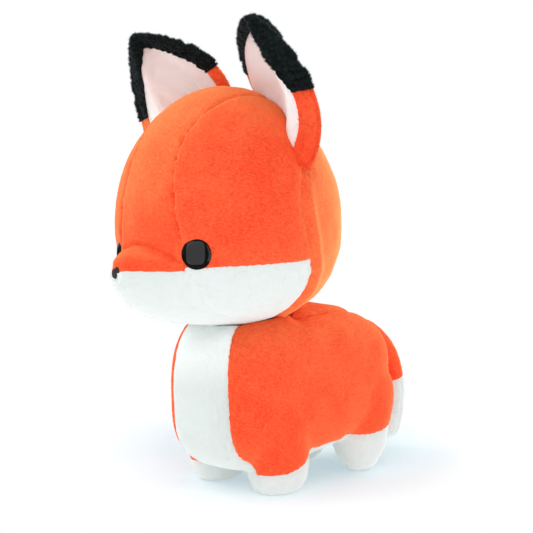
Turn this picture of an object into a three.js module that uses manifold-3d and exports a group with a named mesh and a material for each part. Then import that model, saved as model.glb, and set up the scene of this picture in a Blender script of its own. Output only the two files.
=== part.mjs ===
// A plush fox, 255 mm tall, as its sewn panels, stuffing, plastic eyes and nose.
// Millimetres, +Z up. The fox faces -Y and its own left side is +X.
// The origin is on the ground, under the middle of the fox's outline.

import * as THREE from 'three';
import { mergeVertices } from 'three/addons/utils/BufferGeometryUtils.js';
import Module from 'manifold-3d';

const wasm = await Module();
wasm.setup();

// Cloth and clearances
const plushThickness = 3;
const seamGap = 0.3;
const layerGap = 0.3;
const groundTrim = 0.5;
const cutOverrun = 20;

// The end rings of a rounded form lie this share of a step from its poles
const poleShare = 0.12;

// Head: a rounded egg, squarer below, with a short pointed snout
const headHalfWidth = 60;
const headFrontDepth = 55.2;
const headBackDepth = 66;
const headCrownHeight = 74;
const headChinDrop = 55.5;
const headBottomHeight = 93.1;
const headForwardReach = 34;
const snoutReach = 25.5;
const snoutHeight = 32.8;
const snoutHalfWidth = 18;
const snoutRise = 13;
const snoutFall = 47;
const snoutPower = 2.2;
const snoutStartShare = 0.1;
const snoutFullShare = 0.6;
const crownPower = 1.95;
const chinPower = 2.4;
const headPlanPower = 2.2;
const headSides = 28;
const headRings = 16;
const coreSides = 20;
const coreRings = 12;

// Head seams: heights as shares of the head's height, widths and depths as
// shares of its half width and its back depth
const gussetHeightShares = [0.208, 0.316, 0.439, 0.555, 0.671, 0.748, 0.825, 0.887, 0.934, 1.01];
const gussetWidthShares = [0.417, 0.417, 0.333, 0.275, 0.233, 0.225, 0.25, 0.308, 0.358, 0.4];
const sideSeamHeightShares = [0, 0.092, 0.154, 0.219, 0.285, 0.37, 0.478, 0.563, 0.64, 0.795, 0.95, 1.03];
const sideSeamDepthShares = [0.18, 0.21, 0.23, 0.2, 0.14, 0.075, 0.01, 0.02, 0.06, 0.165, 0.27, 0.285];
const lipFrontHeight = 33.1;
const lipBackHeight = 36.6;
const chinPanelHalfWidth = 27;

// Safety eyes and nose: glossy plastic domes with a stem and a push-on washer
const eyeRadius = 7.5;
const eyeDomeHeight = 3.6;
const eyeSpread = 31.6;
const eyeHeight = 41.4;
const eyeReach = 48.6;
const eyeTurnDeg = 36;
const eyeSeating = 0.4;
const stemRadius = 2;
const stemLength = 9;
const stemFit = 0.3;
const eyeWasherRadius = 6.5;
const noseWasherRadius = 4;
const washerThickness = 2;
const noseHalfWidth = 4.6;
const noseHalfHeight = 3.7;
const noseDomeHeight = 3.2;
const noseHeight = 32;
const noseSeating = 2.4;
const domeRings = 3;
const plasticSides = 14;

// Ears: each side is given by an inner and an outer edge, as curves with four
// points, measured from the head's bottom and the head's centre line
const earInnerEdge = [[9, 18, 123], [4, 8, 147], [20, -12, 160], [46, -26, 160]];
const earOuterEdge = [[59, 4, 83], [76, 6, 112], [66, -12, 143], [46, -26, 160]];
const earThickness = 7;
const earCupDepth = 6;
const earRidgeRise = 5;
const earFullWidth = 40;
const earEndShare = 0.99;
const earThinShare = 0.5;
const earCupShare = 0.36;
const earRidgeShare = 0.76;
const earRidgeWidthShare = 0.14;
const earInnerRim = 9;
const earOuterRim = 15;
const earLiningThickness = 2.6;
const earLiningSink = 0.7;
const earLiningTopShare = 0.84;
const earLiningTopPower = 4;
const earTipInnerShare = 0.3;
const earTipOuterShare = 0.4;
const earColumns = 6;
const earRows = 6;
const earSeat = 0.6;
const earSwingDeg = 10;

// Torso: a soft box lying along Y, deeper at the chest than at the rump
const torsoFront = 57;
const torsoBack = 86;
const torsoFrontHalfWidth = 38;
const torsoMiddleHalfWidth = 43;
const torsoBackHalfWidth = 40;
const torsoFrontTop = 104;
const torsoMiddleTop = 108;
const torsoBackTop = 92;
const torsoFrontBottom = 4;
const torsoMiddleBottom = 16;
const torsoBackBottom = 22;
const torsoEndPower = 3.2;
const torsoSectionPower = 3.1;
const torsoSides = 22;
const torsoRings = 14;

// Torso seams
const chestHeightShares = [0.15, 0.3, 0.43, 0.61, 0.81, 0.885, 1.1];
const chestWidthShares = [0.58, 0.56, 0.566, 0.553, 0.5, 0.434, 0.4];
const chestPanelDepth = 29;
const chestPanelBottom = 16;
const bellyHalfWidth = 31;
const bellyLegHalfWidth = 21.5;
const bellyPanelTop = 40;
const backPanelFloor = 78;
const backPanelLengthShares = [0.36, 0.45, 0.53, 0.68, 0.82, 0.93, 1.02];
const backPanelWidthShares = [0.7, 0.68, 0.65, 0.51, 0.33, 0.16, 0.14];

// Legs: short stubs that spread a little under the torso
const frontLegSpread = 23.5;
const frontLegPlace = -18;
const frontLegTop = 60;
const frontLegTopRadius = 17;
const frontFootRadius = 15.5;
const frontLegPower = 4.5;
const rearLegSpread = 22;
const rearLegPlace = 60;
const rearLegTop = 62;
const rearLegTopRadius = 21;
const rearLegTopDepth = 25;
const rearFootRadius = 13;
const rearLegPower = 2.7;
const frontSockFront = 12;
const frontSockBack = 22;
const rearSockHeight = 25;
const legSides = 12;
const legRings = 7;

// Tail: hangs from the rump, orange above and white at the blunt tip
const tailLine = [[74, 85], [86, 83], [97, 70], [100, 48], [99, 28], [98, 9]];
const tailRadii = [5, 9, 11, 12.5, 12.5, 10];
const tailWidthShare = 1.7;
const tailPlushThickness = 2.6;
const tailTipFrontHeight = 47;
const tailTipBackHeight = 53;
const tailSides = 12;
const tailRings = 8;
const tailHingePlace = 78;
const tailHingeHeight = 86;
const tailLiftDeg = 35;
const tailSeat = 0.6;

// Neck: a ball of stuffing in the opening between head and torso
const neckRadius = 14;
const neckForwardReach = 32;
const neckHeight = 93;
const neckFit = 0.6;
const neckSides = 16;
const neckRings = 6;
const headNodDeg = 5;
const headBackNodDeg = 5;
const headSeat = 1.6;

const orangePlush = { color: 0xfd5e38, roughness: 0.95, metalness: 0 };
const whitePlush = { color: 0xeaf0ee, roughness: 0.95, metalness: 0 };
const blackSherpa = { color: 0x17191c, roughness: 1, metalness: 0 };
const pinkLining = { color: 0xf3e2df, roughness: 0.95, metalness: 0 };
const stuffingFibre = { color: 0xf6f4ee, roughness: 1, metalness: 0 };
const blackPlastic = { color: 0x0b0b0c, roughness: 0.12, metalness: 0 };
const washerPlastic = { color: 0xdcdcd8, roughness: 0.5, metalness: 0 };

const fox = new THREE.Group();
const headCentreHeight = headBottomHeight + headChinDrop;
const headHeight = headCrownHeight + headChinDrop;
const torsoLength = torsoFront + torsoBack;

function signedPower(value, power) {
  return Math.sign(value) * Math.abs(value) ** power;
}

function radians(degrees) {
  return degrees * Math.PI / 180;
}

function blend(from, to, share) {
  return from + (to - from) * share;
}

function fromPole(ring, rings) {
  return THREE.MathUtils.clamp(ring, poleShare, rings - poleShare);
}

// Turns points and triangles into a solid whose faces point out.
function solidFrom(points, triangles) {
  let volume = 0;
  for (const [a, b, c] of triangles) {
    const cross = new THREE.Vector3().crossVectors(points[b], points[c]);
    volume += points[a].dot(cross);
  }
  const wound = volume > 0 ? triangles : triangles.map(([a, b, c]) => [a, c, b]);
  return new wasm.Manifold(new wasm.Mesh({
    numProp: 3,
    vertProperties: new Float32Array(points.flatMap((point) => point.toArray())),
    triVerts: new Uint32Array(wound.flat()),
  }));
}

// Rings of equal count, closed at both ends by a middle point.
function ringForm(rings) {
  const count = rings[0].length;
  const points = rings.flat();
  const triangles = [];
  for (let ring = 0; ring + 1 < rings.length; ring += 1) {
    for (let side = 0; side < count; side += 1) {
      const next = (side + 1) % count;
      const low = ring * count;
      const high = low + count;
      triangles.push([low + side, low + next, high + next], [low + side, high + next, high + side]);
    }
  }
  for (const [ring, turned] of [[0, true], [rings.length - 1, false]]) {
    const middle = new THREE.Vector3();
    for (const point of rings[ring]) middle.addScaledVector(point, 1 / count);
    const hub = points.push(middle) - 1;
    for (let side = 0; side < count; side += 1) {
      const a = ring * count + side;
      const b = ring * count + (side + 1) % count;
      triangles.push(turned ? [hub, b, a] : [hub, a, b]);
    }
  }
  return solidFrom(points, triangles);
}

// A three.js geometry as a solid, its points moved by place(point).
function solidOf(geometry, place = (point) => point) {
  const bare = geometry.clone();
  bare.deleteAttribute('normal');
  bare.deleteAttribute('uv');
  const merged = mergeVertices(bare);
  const position = merged.getAttribute('position');
  const points = [];
  for (let index = 0; index < position.count; index += 1) {
    points.push(place(new THREE.Vector3().fromBufferAttribute(position, index)));
  }
  const triangles = [];
  for (let index = 0; index < merged.index.count; index += 3) {
    const [a, b, c] = [0, 1, 2].map((corner) => merged.index.getX(index + corner));
    if (a !== b && b !== c && c !== a) triangles.push([a, b, c]);
  }
  return solidFrom(points, triangles);
}

// An outline of [first, second] pairs, pulled along X, Y or Z between two places.
function prism(outline, axis, from, to) {
  const shape = new THREE.Shape(outline.map(([first, second]) => new THREE.Vector2(first, second)));
  const block = new THREE.ExtrudeGeometry(shape, { depth: to - from, bevelEnabled: false });
  const placers = {
    x: (point) => new THREE.Vector3(point.z + from, point.x, point.y),
    y: (point) => new THREE.Vector3(point.x, point.z + from, point.y),
    z: (point) => new THREE.Vector3(point.x, point.y, point.z + from),
  };
  return solidOf(block, placers[axis]);
}

function box(low, high) {
  const outline = [[low[0], low[1]], [high[0], low[1]], [high[0], high[1]], [low[0], high[1]]];
  return prism(outline, 'z', low[2], high[2]);
}

function turned(solid, centre, axis, degrees) {
  const turn = new THREE.Matrix4().makeTranslation(centre.x, centre.y, centre.z);
  turn.multiply(new THREE.Matrix4().makeRotationAxis(axis, radians(degrees)));
  turn.multiply(new THREE.Matrix4().makeTranslation(-centre.x, -centre.y, -centre.z));
  return solid.transform(turn.elements);
}

function largestBody(solid) {
  const bodies = solid.decompose();
  return bodies.reduce((best, body) => (body.volume() > best.volume() ? body : best));
}

function addPiece(name, solid, look) {
  const mesh = largestBody(solid).getMesh();
  const geometry = new THREE.BufferGeometry();
  geometry.setAttribute('position', new THREE.BufferAttribute(new Float32Array(mesh.vertProperties), 3));
  geometry.setIndex(new THREE.BufferAttribute(new Uint32Array(mesh.triVerts), 1));
  geometry.computeVertexNormals();
  const piece = new THREE.Mesh(geometry, new THREE.MeshStandardMaterial(look));
  piece.name = name;
  fox.add(piece);
}

// Head surface, moved inwards by inset: two half eggs and a bump for the snout.
function headForm(inset, sides, rings) {
  const rows = [];
  for (let ring = 0; ring <= rings; ring += 1) {
    const fromTop = Math.PI * fromPole(ring, rings) / rings;
    const upper = Math.cos(fromTop) >= 0;
    const power = 2 / (upper ? crownPower : chinPower);
    const rise = signedPower(Math.cos(fromTop), power) * ((upper ? headCrownHeight : headChinDrop) - inset);
    const spread = signedPower(Math.sin(fromTop), power);
    const row = [];
    for (let side = 0; side < sides; side += 1) {
      const around = 2 * Math.PI * side / sides;
      const forward = signedPower(Math.cos(around), 2 / headPlanPower);
      const depth = (forward > 0 ? headFrontDepth : headBackDepth) - inset;
      const across = (headHalfWidth - inset) * spread * signedPower(Math.sin(around), 2 / headPlanPower);
      const bump = snoutBump(across, rise + headChinDrop, spread * forward, inset);
      const reach = depth * spread * forward + bump + headForwardReach;
      row.push(new THREE.Vector3(across, -reach, rise + headCentreHeight));
    }
    rows.push(row);
  }
  return ringForm(rows);
}

function snoutBump(across, height, facing, inset) {
  const front = THREE.MathUtils.smoothstep(facing, snoutStartShare, snoutFullShare);
  const offset = height - snoutHeight;
  const reach = (offset > 0 ? snoutRise : snoutFall) - inset / 2;
  const upright = (Math.abs(offset) / reach) ** snoutPower;
  const sideways = (across / (snoutHalfWidth - inset / 2)) ** 2;
  return snoutReach * front * Math.exp(-upright - sideways);
}

// A head seam's points, from shares of a size and of the head's height.
function headOutline(heightShares, valueShares, valueSize, offset) {
  return heightShares.map((share, index) => [
    valueShares[index] * valueSize + offset,
    headBottomHeight + share * headHeight,
  ]);
}

// The part of space in front of the side seam (or behind it), kept off it by half a seam.
function sideSeamBlock(front) {
  const clear = front ? -seamGap / 2 : seamGap / 2;
  const far = front ? -headFrontDepth - snoutReach - cutOverrun : headBackDepth + cutOverrun;
  const seam = headOutline(sideSeamHeightShares, sideSeamDepthShares, headBackDepth, clear);
  const low = headBottomHeight - cutOverrun;
  const high = headBottomHeight + headHeight + cutOverrun;
  const outline = [[far, low], [seam[0][0], low], ...seam, [seam.at(-1)[0], high], [far, high]];
  const placed = outline.map(([depth, height]) => [depth - headForwardReach, height]);
  return prism(placed, 'x', -headHalfWidth - cutOverrun, headHalfWidth + cutOverrun);
}

function lipBlock(above) {
  const clear = above ? seamGap / 2 : -seamGap / 2;
  const far = above ? headBottomHeight + headHeight + cutOverrun : headBottomHeight - cutOverrun;
  const front = -headForwardReach - headFrontDepth - snoutReach;
  const back = -headForwardReach + headBackDepth;
  const frontHeight = headBottomHeight + lipFrontHeight + clear;
  const backHeight = headBottomHeight + lipBackHeight + clear;
  const slope = (backHeight - frontHeight) * (back - front + cutOverrun) / -front;
  const start = front - cutOverrun;
  const outline = [[start, frontHeight], [back, frontHeight + slope], [back, far], [start, far]];
  return prism(outline, 'x', -headHalfWidth - cutOverrun, headHalfWidth + cutOverrun);
}

function gussetBlock(clear) {
  const right = headOutline(gussetHeightShares, gussetWidthShares, headHalfWidth, clear);
  const left = right.map(([across, height]) => [-across, height]).reverse();
  const front = -headForwardReach - headFrontDepth - snoutReach - cutOverrun;
  return prism([...right, ...left], 'y', front, headBackDepth);
}

function chinBlock(clear) {
  const reach = chinPanelHalfWidth + clear;
  const far = headForwardReach + headFrontDepth + snoutReach + cutOverrun;
  return box([-reach, -far, headBottomHeight - cutOverrun], [reach, headBackDepth, headCentreHeight]);
}

// One half of space, left or right of the fox's middle.
function halfBlock(side) {
  const near = side * seamGap / 2;
  const far = side * (headHalfWidth + cutOverrun);
  const high = headBottomHeight + headHeight + cutOverrun;
  const reach = torsoBack + headHalfWidth + headFrontDepth;
  return box([Math.min(near, far), -reach, -cutOverrun], [Math.max(near, far), reach, high]);
}

// A dome with a stem behind it, built along +Z and turned to face along direction.
function domeSolid(halfWidth, halfHeight, height, place, direction, grow = 0) {
  const profile = [new THREE.Vector2(0, -stemLength - grow)];
  profile.push(new THREE.Vector2(stemRadius + grow, -stemLength - grow));
  profile.push(new THREE.Vector2(stemRadius + grow, -grow), new THREE.Vector2(halfWidth + grow, -grow));
  for (let ring = 1; ring <= domeRings; ring += 1) {
    const angle = Math.PI / 2 * ring / domeRings;
    const radius = ring === domeRings ? 0 : (halfWidth + grow) * Math.cos(angle);
    profile.push(new THREE.Vector2(radius, (height + grow) * Math.sin(angle)));
  }
  const lathe = new THREE.LatheGeometry(profile, plasticSides);
  const face = new THREE.Quaternion().setFromUnitVectors(new THREE.Vector3(0, 0, 1), direction);
  return solidOf(lathe, (point) => {
    const oval = point.y > -grow - seamGap ? halfHeight / halfWidth : 1;
    return new THREE.Vector3(point.x, -point.z * oval, point.y).applyQuaternion(face).add(place);
  });
}

// A push-on washer on the stem, its near face at depth behind place.
function washerSolid(radius, depth, place, direction, grow = 0) {
  const inner = grow > 0 ? 0 : stemRadius + stemFit;
  const outer = radius + grow;
  const near = -depth + grow;
  const far = -depth - washerThickness - grow;
  const profile = [[inner, near], [inner, far], [outer, far], [outer, near], [inner, near]];
  const lathe = new THREE.LatheGeometry(profile.map(([x, y]) => new THREE.Vector2(x, y)), plasticSides);
  const face = new THREE.Quaternion().setFromUnitVectors(new THREE.Vector3(0, 0, 1), direction);
  return solidOf(lathe, (point) => (
    new THREE.Vector3(point.x, -point.z, point.y).applyQuaternion(face).add(place)));
}

// The surface point and outward direction of an eye or of the nose.
function facePlace(side) {
  const turn = radians(eyeTurnDeg) * side;
  const direction = new THREE.Vector3(Math.sin(turn), -Math.cos(turn), 0);
  const height = headBottomHeight + eyeHeight;
  const place = new THREE.Vector3(side * eyeSpread, -headForwardReach - eyeReach, height);
  return [place.addScaledVector(direction, -eyeSeating), direction];
}

function nosePlace() {
  const direction = new THREE.Vector3(0, -1, 0);
  const reach = headForwardReach + headFrontDepth + snoutReach - headPlaneDrop();
  return [new THREE.Vector3(0, -reach + noseSeating, headBottomHeight + noseHeight), direction];
}

// How far the snout's tip lies behind the widest ring, at the nose's height.
function headPlaneDrop() {
  const rise = (headChinDrop - noseHeight) / headChinDrop;
  return headFrontDepth * (1 - (1 - rise ** chinPower) ** (1 / chinPower));
}

const neckCentre = new THREE.Vector3(0, -neckForwardReach, neckHeight);

function neckBall(grow) {
  const rows = [];
  for (let ring = 0; ring <= neckRings; ring += 1) {
    const fromTop = Math.PI * fromPole(ring, neckRings) / neckRings;
    const row = [];
    for (let side = 0; side < neckSides; side += 1) {
      const around = 2 * Math.PI * side / neckSides;
      const point = new THREE.Vector3().setFromSphericalCoords(neckRadius + grow, fromTop, around);
      row.push(new THREE.Vector3(point.x, point.z, point.y).add(neckCentre));
    }
    rows.push(row);
  }
  return ringForm(rows);
}

// The room that the head takes up as it nods. It is so nearly round where it
// meets the torso that the seat's clearance also lets it turn.
function headSweep() {
  const form = headForm(-headSeat, coreSides, coreRings);
  let sweep = form;
  for (const nod of [-headBackNodDeg, headNodDeg]) {
    sweep = sweep.add(turned(form, neckCentre, new THREE.Vector3(1, 0, 0), nod));
  }
  return sweep;
}

function buildHead() {
  const outer = headForm(0, headSides, headRings);
  const inner = headForm(plushThickness, coreSides, coreRings);
  let core = headForm(plushThickness + layerGap, coreSides, coreRings).subtract(neckBall(neckFit));
  let shell = outer.subtract(inner).subtract(neckBall(neckFit));
  const noseSizes = [noseWasherRadius, noseHalfWidth, noseHalfHeight, noseDomeHeight];
  const fittings = [['nose', ...noseSizes, ...nosePlace()]];
  for (const [side, name] of [[1, 'left'], [-1, 'right']]) {
    fittings.push([`eye_${name}`, eyeWasherRadius, eyeRadius, eyeRadius, eyeDomeHeight, ...facePlace(side)]);
  }
  for (const [name, washer, halfWidth, halfHeight, height, place, direction] of fittings) {
    const washerDepth = plushThickness + layerGap * 2 + stemFit;
    const seat = domeSolid(halfWidth, halfHeight, height, place, direction, stemFit);
    shell = shell.subtract(seat);
    const washerSeat = washerSolid(washer, washerDepth, place, direction, layerGap);
    core = core.subtract(seat).subtract(washerSeat);
    shell = shell.subtract(washerSeat);
    addPiece(name, domeSolid(halfWidth, halfHeight, height, place, direction), blackPlastic);
    addPiece(`${name}_washer`, washerSolid(washer, washerDepth, place, direction), washerPlastic);
  }
  addPiece('head_stuffing', core, stuffingFibre);
  const face = shell.intersect(sideSeamBlock(true));
  const back = shell.intersect(sideSeamBlock(false));
  const upper = face.intersect(lipBlock(true));
  const lower = face.intersect(lipBlock(false));
  const chin = chinBlock(-seamGap / 2);
  addPiece('forehead_panel', upper.intersect(gussetBlock(-seamGap / 2)), orangePlush);
  addPiece('chin_panel', lower.intersect(chin), whitePlush);
  const sides = upper.subtract(gussetBlock(seamGap / 2));
  const cheeks = lower.subtract(chinBlock(seamGap / 2));
  for (const [side, name] of [[1, 'left'], [-1, 'right']]) {
    addPiece(`face_panel_${name}`, sides.intersect(halfBlock(side)), orangePlush);
    addPiece(`cheek_panel_${name}`, cheeks.intersect(halfBlock(side)), whitePlush);
    addPiece(`head_back_panel_${name}`, back.intersect(halfBlock(side)), orangePlush);
  }
}

// Ear shape in its own coordinates: across 0 to 1 from the inner to the outer
// edge, along 0 to 1 from the base to the tip, depth towards the ear's back.
function earFrame(side) {
  const curves = [earInnerEdge, earOuterEdge].map((edge) => new THREE.CubicBezierCurve3(...edge.map(
    ([x, y, z]) => new THREE.Vector3(side * x, y - headForwardReach, z + headBottomHeight))));
  return (across, along, depth) => {
    const [inner, outer] = curves.map((curve) => curve.getPoint(along));
    const width = Math.min(1, inner.distanceTo(outer) / earFullWidth);
    const span = curves[1].getPoint(0).sub(curves[0].getPoint(0));
    const rise = curves[0].getPoint(1).sub(curves[0].getPoint(0));
    const back = new THREE.Vector3().crossVectors(span, rise).normalize();
    if (back.y < 0) back.negate();
    const cup = Math.sin(Math.PI * Math.min(1, across / (2 * earCupShare))) ** 2 * earCupDepth;
    const ridge = Math.exp(-(((across - earRidgeShare) / earRidgeWidthShare) ** 2)) * earRidgeRise;
    return inner.lerp(outer, across).addScaledVector(back, (cup - ridge) * width + depth);
  };
}

function earWidth(side, along) {
  const frame = earFrame(side);
  return frame(0, along, 0).distanceTo(frame(1, along, 0));
}

function earBody(side) {
  const frame = earFrame(side);
  const rows = [];
  for (let row = 0; row <= earRows; row += 1) {
    const along = row / earRows;
    const thickness = earThickness * Math.min(1, earThinShare + earWidth(side, along) / earFullWidth);
    const ring = [];
    for (let column = 0; column < 2 * earColumns; column += 1) {
      const around = Math.PI * column / earColumns;
      const across = (1 - Math.cos(around)) / 2;
      ring.push(frame(across, Math.min(along, earEndShare), -Math.sin(around) * thickness / 2));
    }
    rows.push(ring);
  }
  return ringForm(rows);
}

// The white lining in the ear's front, or the pocket that it lies in.
function earInset(side, grow) {
  const frame = earFrame(side);
  const face = -earThickness / 2 + earLiningSink;
  const front = grow > 0 ? face - earThickness : face;
  const back = face + earLiningThickness + grow;
  const length = frame(0.5, 0, 0).distanceTo(frame(0.5, 1, 0));
  const rows = [];
  for (let row = 0; row <= earRows; row += 1) {
    const along = blend(0, earLiningTopShare, row / earRows);
    const width = earWidth(side, along);
    const closing = 1 - (along / earLiningTopShare) ** earLiningTopPower;
    const from = Math.min(0.5, earInnerRim / width);
    const to = Math.max(from, 1 - earOuterRim / width);
    const middle = (from + to) / 2;
    const half = (Math.max((to - from) * width * closing, seamGap) / 2 + grow) / width;
    const reach = along + row / earRows * grow / length;
    const ring = [];
    for (let column = 0; column <= earColumns; column += 1) {
      ring.push([blend(middle - half, middle + half, column / earColumns), front]);
    }
    for (let column = earColumns; column >= 0; column -= 1) {
      ring.push([blend(middle - half, middle + half, column / earColumns), back]);
    }
    rows.push(ring.map(([across, depth]) => frame(across, reach, depth)));
  }
  return ringForm(rows);
}

// Everything on the tip's side of the line where the black cloth starts.
function earTipBlock(side, clear) {
  const frame = earFrame(side);
  const inner = frame(0, earTipInnerShare, 0);
  const outer = frame(1, earTipOuterShare, 0);
  const span = outer.clone().sub(inner).normalize();
  const tip = frame(0, 1, 0).sub(inner);
  const up = tip.addScaledVector(span, -tip.dot(span)).normalize();
  const through = new THREE.Vector3().crossVectors(span, up);
  const reach = headHeight;
  return solidOf(new THREE.BoxGeometry(reach, reach, reach), (point) => inner.clone()
    .addScaledVector(span, point.x)
    .addScaledVector(up, point.y + reach / 2 + clear)
    .addScaledVector(through, point.z));
}

function buildEars() {
  const head = headForm(-earSeat, headSides, headRings);
  for (const [side, name] of [[1, 'left'], [-1, 'right']]) {
    const frame = earFrame(side);
    const root = frame(0, 0, 0);
    const hinge = frame(1, 0, 0).sub(root).normalize();
    let room = head;
    for (const swing of [-earSwingDeg, earSwingDeg]) room = room.add(turned(head, root, hinge, swing));
    const ear = earBody(side).subtract(room);
    const cloth = ear.subtract(earInset(side, layerGap));
    addPiece(`ear_base_${name}`, cloth.subtract(earTipBlock(side, -seamGap / 2)), orangePlush);
    addPiece(`ear_tip_${name}`, cloth.intersect(earTipBlock(side, seamGap / 2)), blackSherpa);
    addPiece(`ear_lining_${name}`, earInset(side, 0).subtract(room), pinkLining);
  }
}

// A value that runs through three sizes from the torso's front to its back.
function torsoRun(front, middle, back, share) {
  return front * (1 - share) ** 2 + 2 * middle * share * (1 - share) + back * share ** 2;
}

function torsoForm(inset, sides, rings) {
  const rows = [];
  for (let ring = 0; ring <= rings; ring += 1) {
    const along = Math.PI * fromPole(ring, rings) / rings;
    const place = -signedPower(Math.cos(along), 2 / torsoEndPower);
    const spread = signedPower(Math.sin(along), 2 / torsoEndPower);
    const share = (place + 1) / 2;
    const halfWidth = torsoRun(torsoFrontHalfWidth, torsoMiddleHalfWidth, torsoBackHalfWidth, share) - inset;
    const top = torsoRun(torsoFrontTop, torsoMiddleTop, torsoBackTop, share) - inset;
    const bottom = torsoRun(torsoFrontBottom, torsoMiddleBottom, torsoBackBottom, share) + inset;
    const row = [];
    for (let side = 0; side < sides; side += 1) {
      const around = 2 * Math.PI * side / sides;
      const across = halfWidth * spread * signedPower(Math.sin(around), 2 / torsoSectionPower);
      const rise = (top - bottom) / 2 * spread * signedPower(Math.cos(around), 2 / torsoSectionPower);
      const depth = (torsoLength / 2 - inset) * place + (torsoBack - torsoFront) / 2;
      row.push(new THREE.Vector3(across, depth, (top + bottom) / 2 + rise));
    }
    rows.push(row);
  }
  return ringForm(rows);
}

function legSizes() {
  return [
    {
      name: 'front', spread: frontLegSpread, place: frontLegPlace, top: frontLegTop, power: frontLegPower,
      topRadius: frontLegTopRadius, topDepth: frontLegTopRadius, footRadius: frontFootRadius,
    },
    {
      name: 'rear', spread: rearLegSpread, place: rearLegPlace, top: rearLegTop, power: rearLegPower,
      topRadius: rearLegTopRadius, topDepth: rearLegTopDepth, footRadius: rearFootRadius,
    },
  ];
}

function legForm(leg, side, inset) {
  const rows = [];
  const low = -groundTrim + inset;
  for (let ring = 0; ring <= legRings; ring += 1) {
    const down = Math.PI * fromPole(ring, legRings) / legRings;
    const share = (1 - signedPower(Math.cos(down), 2 / leg.power)) / 2;
    const spread = signedPower(Math.sin(down), 2 / leg.power);
    const width = (blend(leg.topRadius, leg.footRadius, share) - inset) * spread;
    const depth = (blend(leg.topDepth, leg.footRadius, share) - inset) * spread;
    const row = [];
    for (let turn = 0; turn < legSides; turn += 1) {
      const around = 2 * Math.PI * turn / legSides;
      row.push(new THREE.Vector3(
        side * leg.spread + width * Math.sin(around),
        leg.place + depth * Math.cos(around),
        blend(leg.top - inset, low, share)));
    }
    rows.push(row);
  }
  return ringForm(rows);
}

// The white sock's share of a leg: below a line that climbs towards the back.
function sockBlock(leg, side, clear) {
  const front = leg.place - leg.topDepth;
  const back = leg.place + leg.topDepth;
  const frontHeight = leg.name === 'front' ? frontSockFront : rearSockHeight;
  const backHeight = leg.name === 'front' ? frontSockBack : rearSockHeight;
  const outline = [[front - clear, -cutOverrun], [back + clear, -cutOverrun],
    [back + clear, backHeight + clear], [front - clear, frontHeight + clear]];
  const near = side * (leg.spread - leg.footRadius - clear);
  const far = side * (leg.spread + leg.topRadius + cutOverrun);
  return prism(outline, 'x', Math.min(near, far), Math.max(near, far));
}

function chestBlock(clear) {
  const right = chestHeightShares.map((share, index) => [
    chestWidthShares[index] * torsoFrontHalfWidth + clear, share * torsoFrontTop]);
  right[0][1] = chestPanelBottom - clear;
  const left = right.map(([across, height]) => [-across, height]).reverse();
  return prism([...right, ...left], 'y', -torsoFront - cutOverrun, -torsoFront + chestPanelDepth + clear);
}

function bellyBlock(clear) {
  const between = frontLegPlace + frontLegTopRadius;
  const rear = rearLegPlace - rearLegTopDepth;
  const back = torsoBack - plushThickness;
  const right = [
    [bellyLegHalfWidth, -torsoFront],
    [bellyLegHalfWidth, between],
    [bellyHalfWidth, between + plushThickness],
    [bellyHalfWidth, rear],
    [bellyLegHalfWidth, rear + plushThickness],
    [bellyLegHalfWidth, back],
  ];
  const wide = right.map(([across, depth]) => [across + clear, depth]);
  const left = wide.map(([across, depth]) => [-across, depth]).reverse();
  return prism([...wide, ...left], 'z', -cutOverrun, bellyPanelTop + clear);
}

function backPanelBlock(clear) {
  const right = backPanelLengthShares.map((share, index) => [
    backPanelWidthShares[index] * torsoMiddleHalfWidth + clear, share * torsoLength - torsoFront]);
  const left = right.map(([across, depth]) => [-across, depth]).reverse();
  return prism([...right, ...left], 'z', backPanelFloor - clear, torsoMiddleTop + cutOverrun);
}

function buildTorso() {
  const half = seamGap / 2;
  const room = headSweep().add(neckBall(neckFit));
  const ground = box([-torsoLength, -torsoLength, -cutOverrun], [torsoLength, torsoLength, 0]);
  const trunkCore = torsoForm(plushThickness + layerGap, coreSides, torsoRings / 2).subtract(room);
  const wideCore = torsoForm(plushThickness, coreSides, torsoRings / 2);
  let outer = torsoForm(0, torsoSides, torsoRings);
  let inner = wideCore;
  let socks = null;
  addPiece('torso_stuffing', trunkCore, stuffingFibre);
  for (const leg of legSizes()) {
    for (const [side, name] of [[1, 'left'], [-1, 'right']]) {
      outer = outer.add(legForm(leg, side, 0));
      inner = inner.add(legForm(leg, side, plushThickness));
      const sock = sockBlock(leg, side, half).intersect(legForm(leg, side, -layerGap));
      socks = socks ? socks.add(sock) : sock;
      const core = legForm(leg, side, plushThickness + layerGap);
      addPiece(`leg_stuffing_${leg.name}_${name}`, core.subtract(wideCore), stuffingFibre);
    }
  }
  const shell = outer.subtract(inner).subtract(ground).subtract(room);
  for (const leg of legSizes()) {
    for (const [side, name] of [[1, 'left'], [-1, 'right']]) {
      const sock = sockBlock(leg, side, -half).intersect(legForm(leg, side, 0));
      addPiece(`foot_${leg.name}_${name}`, shell.intersect(sock), whitePlush);
    }
  }
  const upper = shell.subtract(socks);
  const trunk = upper.subtract(chestBlock(half));
  addPiece('chest_panel', upper.intersect(chestBlock(-half)), whitePlush);
  addPiece('belly_panel', trunk.intersect(bellyBlock(-half)), whitePlush);
  addPiece('back_panel', trunk.intersect(backPanelBlock(-half)), orangePlush);
  const sides = trunk.subtract(bellyBlock(half)).subtract(backPanelBlock(half));
  for (const [side, name] of [[1, 'left'], [-1, 'right']]) {
    addPiece(`side_panel_${name}`, sides.intersect(halfBlock(side)), orangePlush);
  }
  addPiece('neck_stuffing', neckBall(0), stuffingFibre);
}

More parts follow.
